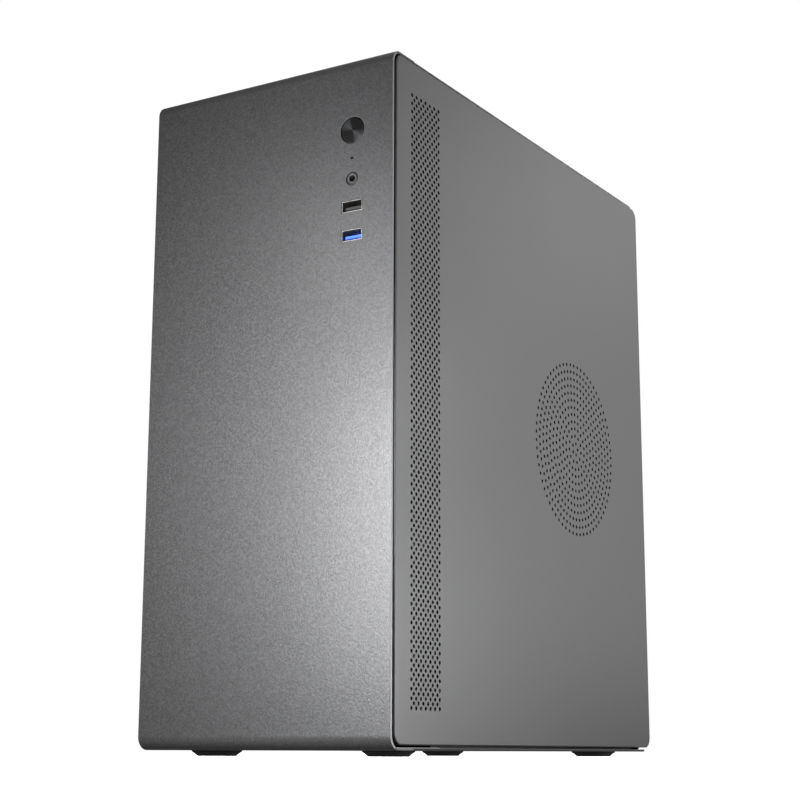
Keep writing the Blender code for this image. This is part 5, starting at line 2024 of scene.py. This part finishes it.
# ---- main board and drives -------------------------------------------------------------------
@dataclass
class MainBoard:
    """Circuit board with its screw holes, chips, capacitors and pin headers."""

    edge_inset: float = 10.0 * MM
    screw_hole: float = 2.0 * MM
    coil: Point = (6.0 * MM, 4.0 * MM, 5.0 * MM)  # height and half sizes
    pin_height: float = 8.0 * MM
    pin_half: float = 0.32 * MM
    pin_pitch: float = 2.54 * MM
    pin_rows: int = 6
    header: Spot = (-26.0 * MM, 62.0 * MM)
    # radius and height of each turn of a capacitor's profile, in millimetres
    can: Profile = (
        (0, 0),
        (3.1, 0),
        (3.1, 0.8),
        (2.8, 1.1),
        (3.1, 1.4),
        (3.1, 7.6),
        (2.8, 8.0),
        (2.2, 8.0),
        (2.1, 7.8),
        (0, 7.8),
    )
    # middle y and z of each chip, its half sizes and its height, in millimetres
    chips: tuple[tuple[float, ...], ...] = (
        (142, 140, 3.5, 3.5, 1.0),
        (136, 118, 5.0, 5.0, 1.4),
        (128, 262, 4.0, 4.0, 1.2),
        (60, 142, 2.6, 4.2, 1.2),
        (10, 132, 3.0, 3.0, 1.0),
        (-20, 160, 2.5, 4.0, 1.1),
        (-24, 96, 3.0, 2.5, 1.6),
        (70, 72, 6.0, 6.0, 1.4),
        (140, 80, 3.0, 5.0, 1.3),
    )
    # middle y and z of each capacitor, in millimetres
    cans: tuple[Spot, ...] = (
        (134, 172),
        (134, 181),
        (134, 190),
        (134, 199),
        (134, 208),
        (134, 217),
        (134, 226),
        (92, 252),
        (80, 252),
        (68, 252),
        (132, 100),
        (146, 104),
        (20, 140),
        (32, 140),
        (-22, 250),
        (-22, 180),
    )
    # middle y and z of each coil, in millimetres
    coils: tuple[Spot, ...] = ((107, 184), (107, 196), (107, 208), (107, 220), (107, 232))

    def sheet(self, box: Box) -> Piece:
        """Builds the board itself, with three rows of three screw holes.

        Args:
            box: The board's CAD box.

        Returns:
            The board.
        """
        e = self.edge_inset
        rows = (box.low.y + e, box.centre.y, box.high.y - e)
        levels = (box.low.z + e, box.centre.z, box.high.z - e)
        holes = [circle((y, z), self.screw_hole, 20) for y in rows for z in levels]
        outline = oblong((box.low.y, box.low.z), (box.high.y, box.high.z), 1.5 * MM)
        bm = bmesh.new()
        add_plate(bm, 0, box.low.x, box.high.x, [outline, *holes])
        return finished(bm, "motherboard_sheet", BOARD, "green_board", ["motherboard"])

    def black_parts(self, face: float) -> Piece:
        """Builds the chips and the coils.

        Args:
            face: Where the board's component side stands on X.

        Returns:
            The chips and coils, as one piece.
        """
        bm = bmesh.new()
        for y, z, half_y, half_z, height in self.chips:
            low = (face - height * MM, (y - half_y) * MM, (z - half_z) * MM)
            add_box(bm, low, (face, (y + half_y) * MM, (z + half_z) * MM), 0.2 * MM, 1)
        height, half_y, half_z = self.coil
        for y, z in self.coils:
            low = (face - height, y * MM - half_y, z * MM - half_z)
            add_box(bm, low, (face, y * MM + half_y, z * MM + half_z), 0.8 * MM)
        return finished(bm, "motherboard_chips", BLACK_MOULDING, "black_plastic")

    def bright_parts(self, face: float) -> Piece:
        """Builds the capacitors and the double row of header pins.

        Args:
            face: Where the board's component side stands on X.

        Returns:
            The capacitors and pins, as one piece.
        """
        bm = bmesh.new()
        can = [(radius * MM, height * MM) for radius, height in self.can]
        for y, z in self.cans:
            add_turned(bm, can, Vector((face, y * MM, z * MM)), -X, 20)
        half = self.pin_half
        for row in range(self.pin_rows):
            for column in range(2):
                y, z = self.header[0] + self.pin_pitch * column, self.header[1] + self.pin_pitch * row
                add_box(bm, (face - self.pin_height, y - half, z - half), (face, y + half, z + half))
        return finished(bm, "motherboard_capacitors", EXTRUDED, "aluminium")

    def build(self) -> list[Piece]:
        """Builds and dresses the board.

        Returns:
            The board and what is soldered to it.
        """
        box = Box.of("motherboard")
        return [self.sheet(box), self.black_parts(box.low.x), self.bright_parts(box.low.x)]


@dataclass
class BoardSocket:
    """Moulded socket on the main board, with a grid of contact pockets in its face."""

    node: str
    finish: Finish
    slot: str
    rows: int
    columns: int
    margin: float = 1.1 * MM
    web: float = 0.9 * MM
    depth: float = 5.0 * MM
    latch: float = 0.0
    latched_height: float = 7.0 * MM  # height of the moulding between its latches

    def build(self) -> Piece:
        """Builds and dresses the socket.

        Returns:
            The socket.
        """
        box = Box.of(self.node)
        face = box.high.x - self.latched_height if self.latch else box.low.x
        m, w = self.margin, self.web
        low_z, high_z = box.low.z + self.latch, box.high.z - self.latch
        step_y = (box.size.y - 2 * m + w) / self.rows
        step_z = (high_z - low_z - 2 * m + w) / self.columns
        pockets = []
        for row in range(self.rows):
            for column in range(self.columns):
                y, z = box.low.y + m + row * step_y, low_z + m + column * step_z
                mouth = oblong((y, z), (y + step_y - w, z + step_z - w), 0.3 * MM)
                pockets.append((mouth, face + self.depth))
        bm = bmesh.new()
        outline = oblong((box.low.y, box.low.z), (box.high.y, box.high.z), 0.5 * MM)
        add_pocketed(bm, 0, face, box.high.x, outline, pockets)
        if self.latch:
            for start in (box.low.z, box.high.z - self.latch):
                low = (box.low.x, box.low.y + 0.3 * MM, start)
                add_box(bm, low, (box.high.x - 1 * MM, box.high.y - 0.3 * MM, start + self.latch), 0.6 * MM)
        return finished(bm, f"{self.node}_moulding", self.finish, self.slot, [self.node])


@dataclass
class MemoryModule:
    """Memory module: a thin board with a keyed edge, its chips and its gold fingers."""

    board: float = 1.2 * MM
    key_at: float = 6.0 * MM
    key_half: float = 1.0 * MM
    key_depth: float = 3.0 * MM
    chips: int = 8
    chip: Point = (11.0 * MM, 1.1 * MM, 8.5 * MM)
    chip_from_edge: float = 20.0 * MM
    chip_first: float = 7.0 * MM
    chip_step: float = 15.0 * MM
    fingers: int = 44
    finger_reach: float = 2.6 * MM
    finger_gap: float = 2.4 * MM

    def sheet(self, box: Box, key: float) -> Piece:
        """Builds the board with the notch that keys it.

        Args:
            box: The module's CAD box.
            key: Height of the notch's middle.

        Returns:
            The board.
        """
        floor = box.high.x - self.key_depth
        outline = [
            (box.low.x, box.low.z),
            (box.high.x, box.low.z),
            (box.high.x, key - self.key_half),
            (floor, key - self.key_half),
            (floor, key + self.key_half),
            (box.high.x, key + self.key_half),
            (box.high.x, box.high.z),
            (box.low.x, box.high.z),
        ]
        bm = bmesh.new()
        add_plate(bm, 1, box.low.y, box.low.y + self.board, [outline])
        name = "memory_module_board"
        return finished(bm, name, BOARD, "green_board", ["memory_module"])

    def build(self) -> list[Piece]:
        """Builds and dresses the module.

        Returns:
            The board, the chips and the fingers.
        """
        box = Box.of("memory_module")
        key = box.centre.z + self.key_at
        face = box.low.y + self.board
        pieces = [self.sheet(box, key)]
        bm = bmesh.new()
        long, thick, tall = self.chip
        start = box.high.x - self.chip_from_edge
        for index in range(self.chips):
            z = box.low.z + self.chip_first + self.chip_step * index
            low = (start, face - 0.1 * MM, z)
            add_box(bm, low, (start + long, low[1] + thick, z + tall), 0.15 * MM, 1)
        pieces.append(finished(bm, "memory_module_chips", BLACK_MOULDING, "black_plastic"))
        bm = bmesh.new()
        pitch = box.size.z / (self.fingers + 2)
        for index in range(self.fingers):
            z = box.low.z + (index + 1) * pitch
            if abs(z + pitch / 2 - key) > self.finger_gap:
                low = (box.high.x - self.finger_reach, face - 0.02 * MM, z)
                add_box(bm, low, (box.high.x - 0.3 * MM, face + 0.04 * MM, z + 0.7 * pitch))
        pieces.append(finished(bm, "memory_module_fingers", GOLD, "nickel", smooth=0))
        return pieces


@dataclass
class HardDrive:
    """3.5 inch drive: a cast base, a pressed lid with its motor boss and screws, and a board below."""

    lid: float = 0.8 * MM
    lid_drop: float = 0.4 * MM
    edge: float = 2.5 * MM
    board: float = 1.6 * MM
    board_inset: float = 4.0 * MM
    board_reach: float = 20.0 * MM
    mount_shares: Point = (0.2, 0.5, 0.8)
    mount_height: float = 6.4 * MM
    mount_hole: float = 1.6 * MM
    mount_rim: float = 2.6 * MM
    mount_sink: float = 0.6 * MM
    boss: float = 14.0 * MM
    boss_share: float = 0.62
    screw_shares: Point = (0.05, 0.5, 0.95)
    screw_inset: float = 6.0 * MM
    # radius and height of a lid screw's profile, in millimetres
    screw: Profile = ((0, 0), (2.3, 0), (2.3, 0.3), (2.0, 0.4), (0.9, 0.4), (0.8, 0.1), (0, 0.1))

    def base(self, box: Box) -> Piece:
        """Builds the cast base and the rims of its side holes.

        Args:
            box: The drive's CAD box.

        Returns:
            The base.
        """
        bm = bmesh.new()
        low = (box.low.x, box.low.y, box.low.z + self.board)
        add_box(bm, low, (box.high.x, box.high.y, box.high.z - self.lid - self.lid_drop), 0.8 * MM)
        hole, rim, sink = self.mount_hole, self.mount_rim, self.mount_sink
        ring = [(hole, 0), (rim, 0), (rim, sink), (hole, sink)]
        for start in (box.low.x, box.high.x - sink):
            for share in self.mount_shares:
                y = box.low.y + share * box.size.y
                add_turned(bm, ring, Vector((start, y, box.low.z + self.mount_height)), X, 24, closed=True)
        return finished(bm, "hard_drive_base", CAST, "aluminium", ["hard_drive"])

    def cover(self, box: Box) -> Piece:
        """Builds the lid with its boss and its screws.

        Args:
            box: The drive's CAD box.

        Returns:
            The lid.
        """
        bm = bmesh.new()
        e, top = self.edge, box.high.z - self.lid_drop
        outline = rounded((box.low.x + e, box.low.y + e), (box.high.x - e, box.high.y - e), 5 * MM, 5)
        add_plate(bm, 2, top - self.lid, top, [outline])
        r, rise = self.boss, 0.4 * MM
        profile = [(r - 1 * MM, 0), (r, rise), (r + 1 * MM, rise), (r + 2 * MM, 0)]
        y = box.low.y + self.boss_share * box.size.y
        add_turned(bm, profile, Vector((box.centre.x, y, top - 0.1 * MM)), Z, 64, closed=True)
        head = [(radius * MM, height * MM) for radius, height in self.screw]
        for x in (box.low.x + self.screw_inset, box.high.x - self.screw_inset):
            for share in self.screw_shares:
                y = box.low.y + share * box.size.y
                add_turned(bm, head, Vector((x, y, top - 0.05 * MM)), Z, 20)
        return finished(bm, "hard_drive_lid", SHELL_STEEL, "aluminium")

    def build(self) -> list[Piece]:
        """Builds and dresses the drive.

        Returns:
            The base, the lid and the board.
        """
        box = Box.of("hard_drive")
        pieces = [self.base(box), self.cover(box)]
        bm = bmesh.new()
        low = (box.low.x + self.board_inset, box.low.y + self.board_inset, box.low.z)
        high = (box.high.x - self.board_inset, box.centre.y + self.board_reach, box.low.z + 1.5 * MM)
        add_box(bm, low, high, 0.2 * MM)
        pieces.append(finished(bm, "hard_drive_board", BOARD, "green_board"))
        return pieces


@dataclass
class SlimDrive:
    """2.5 inch solid-state drive: two moulded shells with a seam and a recessed lid."""

    seam: float = 0.25 * MM
    core_inset: float = 0.35 * MM
    core_half: float = 0.6 * MM
    recess_inset: float = 5.0 * MM
    recess: float = 0.4 * MM

    def build(self) -> Piece:
        """Builds and dresses the drive.

        Returns:
            The drive.
        """
        box = Box.of("solid_state_drive")
        mid = box.centre.z
        bm = bmesh.new()
        add_box(bm, box.low, (box.high.x, box.high.y, mid - self.seam), 0.7 * MM, 3)
        c, half = self.core_inset, self.core_half
        low = (box.low.x + c, box.low.y + c, mid - half)
        add_box(bm, low, (box.high.x - c, box.high.y - c, mid + half))
        outline = rounded((box.low.x, box.low.y), (box.high.x, box.high.y), 1.5 * MM, 3)
        e = self.recess_inset
        recess = rounded((box.low.x + e, box.low.y + e), (box.high.x - e, box.high.y - e), 3 * MM, 4)
        add_pocketed(bm, 2, box.high.z, mid + self.seam, outline, [(recess, box.high.z - self.recess)])
        name, node = "solid_state_drive_shells", "solid_state_drive"
        return finished(bm, name, GREY_MOULDING, "grey_plastic", [node])


@dataclass
class ControlBoard:
    """Small board behind the front sockets, with its screw holes and its lead's header."""

    screw_inset: float = 3.2 * MM
    screw_hole: float = 1.4 * MM
    # low and high corner of the header, from the board's low corner
    header: tuple[Spot, Spot] = ((4.0 * MM, 8.0 * MM), (9.0 * MM, 30.0 * MM))
    header_height: float = 6.0 * MM
    header_floor: float = 2.0 * MM
    ways: int = 5
    way_step: float = 4.0 * MM
    way: float = 3.0 * MM

    def build(self) -> list[Piece]:
        """Builds and dresses the board and the header.

        Returns:
            The board and the header.
        """
        box = Box.of("front_io_board")
        bm = bmesh.new()
        outline = oblong((box.low.x, box.low.z), (box.high.x, box.high.z), 1.5 * MM)
        m = self.screw_inset
        corners = [(x, box.low.z + m) for x in (box.low.x + m, box.high.x - m)]
        corners.append((box.low.x + m, box.high.z - m))
        holes = [circle(corner, self.screw_hole, 16) for corner in corners]
        add_plate(bm, 1, box.low.y, box.high.y, [outline, *holes])
        board = finished(bm, "front_io_board_sheet", BOARD, "green_board", ["front_io_board"])
        bm = bmesh.new()
        low, high = ((box.low.x + x, box.low.z + z) for x, z in self.header)
        pockets = []
        for index in range(self.ways):
            z = low[1] + 2 * MM + self.way_step * index
            mouth = oblong((low[0] + 1 * MM, z), (high[0] - 1 * MM, z + self.way), 0.3 * MM)
            pockets.append((mouth, box.high.y + self.header_floor))
        outline = oblong(low, high, 0.4 * MM)
        add_pocketed(bm, 1, box.high.y + self.header_height, box.high.y, outline, pockets)
        return [board, finished(bm, "front_io_header", BLACK_MOULDING, "black_plastic")]


# ---- stage -----------------------------------------------------------------------------------
@dataclass
class Studio:
    """Pale floor, plain soft lights, and the camera that looks up past the near edge."""

    lens: float = 75.35
    camera_place: Vector = field(default_factory=lambda: Vector((0.56595, -0.9497, 0.0027)))
    camera_turn: tuple[float, float, float] = (-31.483, 11.867, 0.156)
    floor_half: float = 20.0
    # name, place, aimed at, width and height, watts
    lights: tuple[tuple[str, Point, Point, tuple[float, float], float], ...] = (
        ("front_pool", (0.00, -0.36, 0.14), (0.02, -0.17, 0.14), (0.06, 0.20), 0.85),
        ("front_right", (0.05, -0.42, 0.12), (0.06, -0.17, 0.12), (0.05, 0.30), 0.86),
        ("front_glow", (0.10, -0.34, 0.17), (0.087, -0.17, 0.17), (0.03, 0.10), 0.33),
        ("front_middle", (0.08, -0.38, 0.22), (0.08, -0.17, 0.20), (0.06, 0.10), 0.51),
        ("front_upper", (-0.02, -0.34, 0.33), (0.00, -0.17, 0.30), (0.06, 0.10), 0.13),
        ("near_edge", (0.86, -0.63, 0.20), (0.087, -0.17, 0.20), (0.05, 0.60), 0.12),
        ("side_sheen", (0.60, 1.00, 0.45), (0.087, 0.00, 0.20), (0.50, 0.80), 1.55),
        ("side_high", (0.90, 1.30, 1.00), (0.087, 0.00, 0.30), (0.60, 0.60), 1.74),
        ("side_wide", (0.80, 0.40, 0.10), (0.087, 0.05, 0.10), (0.40, 0.30), 7.4),
        ("side_fore", (0.90, -0.10, 0.25), (0.087, -0.05, 0.20), (0.50, 0.50), 1.25),
        ("side_rear", (0.40, 0.22, 0.30), (0.087, 0.12, 0.33), (0.10, 0.10), 0.20),
        ("back_wide", (-0.60, 1.80, 0.90), (0.00, 0.15, 0.20), (1.50, 1.50), 30.0),
        ("left_wide", (-1.70, 0.10, 0.70), (-0.09, 0.00, 0.20), (1.20, 1.20), 16.0),
        ("top_wide", (0.00, 0.30, 2.00), (0.00, 0.05, 0.40), (1.20, 1.20), 14.0),
    )

    def camera(self) -> None:
        """Sets up the camera from its yaw, pitch and roll."""
        yaw, pitch, roll = (math.radians(a) for a in self.camera_turn)
        data = bpy.data.cameras.new("camera")
        data.lens = self.lens
        data.sensor_width = 36.0
        data.clip_start, data.clip_end = 0.001, 100.0
        camera = bpy.data.objects.new("camera", data)
        aim = Matrix.Rotation(yaw, 4, "Z").inverted() @ Matrix.Rotation(math.pi / 2 + pitch, 4, "X")
        camera.matrix_world = Matrix.Translation(self.camera_place) @ aim @ Matrix.Rotation(roll, 4, "Z")
        bpy.context.scene.collection.objects.link(camera)
        bpy.context.scene.camera = camera

    def floor(self) -> None:
        """Lays the floor."""
        bm = bmesh.new()
        bmesh.ops.create_grid(bm, x_segments=8, y_segments=8, size=self.floor_half)
        mesh = bpy.data.meshes.new("studio_floor")
        bm.to_mesh(mesh)
        bm.free()
        paper = Finish("matt_white_paper", "#F2F2F2", 0.9, grain_mm=3.0, grain_depth_mm=0.01, mottle=0.01)
        material = paper.material()
        shader = next(n for n in material.node_tree.nodes if n.type == "BSDF_PRINCIPLED")
        shader.inputs["Emission Color"].default_value = linear("#FFFFFF")
        shader.inputs["Emission Strength"].default_value = 1.0
        mesh.materials.append(material)
        floor = bpy.data.objects.new("studio_floor", mesh)
        bpy.context.scene.collection.objects.link(floor)
        floor.visible_diffuse = floor.visible_glossy = False

    def light(
        self,
        name: str,
        place: Sequence[float],
        aim: Sequence[float],
        size: tuple[float, float],
        watts: float,
    ) -> None:
        """Hangs a soft rectangular light.

        Args:
            name: Name of the light.
            place: Where it hangs.
            aim: Point that it faces.
            size: Its width and height in metres.
            watts: Its power.
        """
        data = bpy.data.lights.new(name, "AREA")
        data.shape = "RECTANGLE"
        data.size, data.size_y = size
        data.energy = watts
        lamp = bpy.data.objects.new(name, data)
        lamp.location = place
        lamp.rotation_euler = (Vector(aim) - Vector(place)).to_track_quat("-Z", "Y").to_euler()
        lamp.visible_camera = False
        bpy.context.scene.collection.objects.link(lamp)

    def world(self) -> None:
        """Surrounds the scene with white that lights the object only weakly."""
        world = bpy.data.worlds.new("studio")
        bpy.context.scene.world = world
        world.use_nodes = True
        tree = world.node_tree
        tree.nodes.clear()
        seen = add_node(tree, "Background", {"Color": linear("#FFFFFF"), "Strength": 1.0})
        felt = add_node(tree, "Background", {"Color": linear("#FFFFFF"), "Strength": 0.15})
        path = add_node(tree, "LightPath").outputs["Is Camera Ray"]
        mix = add_node(
            tree, "MixShader", {}, {0: path, 1: felt.outputs["Background"], 2: seen.outputs["Background"]}
        )
        add_node(tree, "OutputWorld", {}, {"Surface": mix.outputs[0]})

    def build(self) -> None:
        """Sets up the whole stage."""
        bpy.context.scene.view_settings.view_transform = "Standard"
        self.camera()
        self.floor()
        self.world()
        for name, place, aim, size, watts in self.lights:
            self.light(name, place, aim, size, watts)


NODE_FINISHES: dict[str, Finish] = {
    "front_bulkhead": BLACK_COAT,
    "motherboard_tray": BLACK_COAT,
    "power_switch": BLACK_MOULDING,
    "psu_board": BOARD,
    "psu_fan_guard": SHELL_STEEL,
    "psu_rocker": BLACK_MOULDING,
    "cpu_socket": SHELL_STEEL,
    "cpu_heatsink": EXTRUDED,
    "chipset_heatsink": EXTRUDED,
    "regulator_heatsink": EXTRUDED,
    "coin_cell": SHELL_STEEL,
    "drive_cage": BLACK_COAT,
    "front_io_cable": JACKET,
    "board_power_cable": SLEEVE,
}


def main() -> None:
    """Builds every sub-assembly in order, and the stage around them."""
    logging.basicConfig(level=logging.INFO, format="%(message)s", stream=sys.stdout)
    FrontFascia().build()
    for node, up in (("top_cover", 1), ("base_cover", -1)):
        Cover(node, up).build()
    for side in Side:
        SidePanel(side).build()
    for depth in ("front", "rear"):
        for hand in ("left", "right"):
            Foot(f"foot_{depth}_{hand}").build()
    PowerButton().build()
    HeadsetJack().build()
    UsbSocket("usb2", BLACK_MOULDING, "black_plastic", 4).build()
    UsbSocket("usb3", BLUE_MOULDING, "blue_plastic", 4).build()
    StatusLight().build()
    RearWall().build()
    PortBank().build()
    for index in range(1, 5):
        SlotCover(f"slot_cover_{index}").build()
    for hand in ("left", "right"):
        for level in ("lower", "upper"):
            Thumbscrew(f"{hand}_{level}").build()
    Fan("rear", Y).build()
    Fan("cooler", X).build()
    Fan("psu", Z, framed=False).build()
    PowerSupply().build()
    MainBoard().build()
    BoardSocket("memory_slot", BLACK_MOULDING, "black_plastic", 1, 2, latch=6.0 * MM).build()
    BoardSocket("card_slot", BLACK_MOULDING, "black_plastic", 1, 2, depth=8.0 * MM, margin=2.2 * MM).build()
    BoardSocket("board_power_socket", GREY_MOULDING, "grey_plastic", 2, 12, depth=8.0 * MM).build()
    MemoryModule().build()
    HardDrive().build()
    SlimDrive().build()
    ControlBoard().build()
    for node, finish in NODE_FINISHES.items():
        dress_node(node, finish)
    Studio().build()


if __name__ == "__main__":
    main()
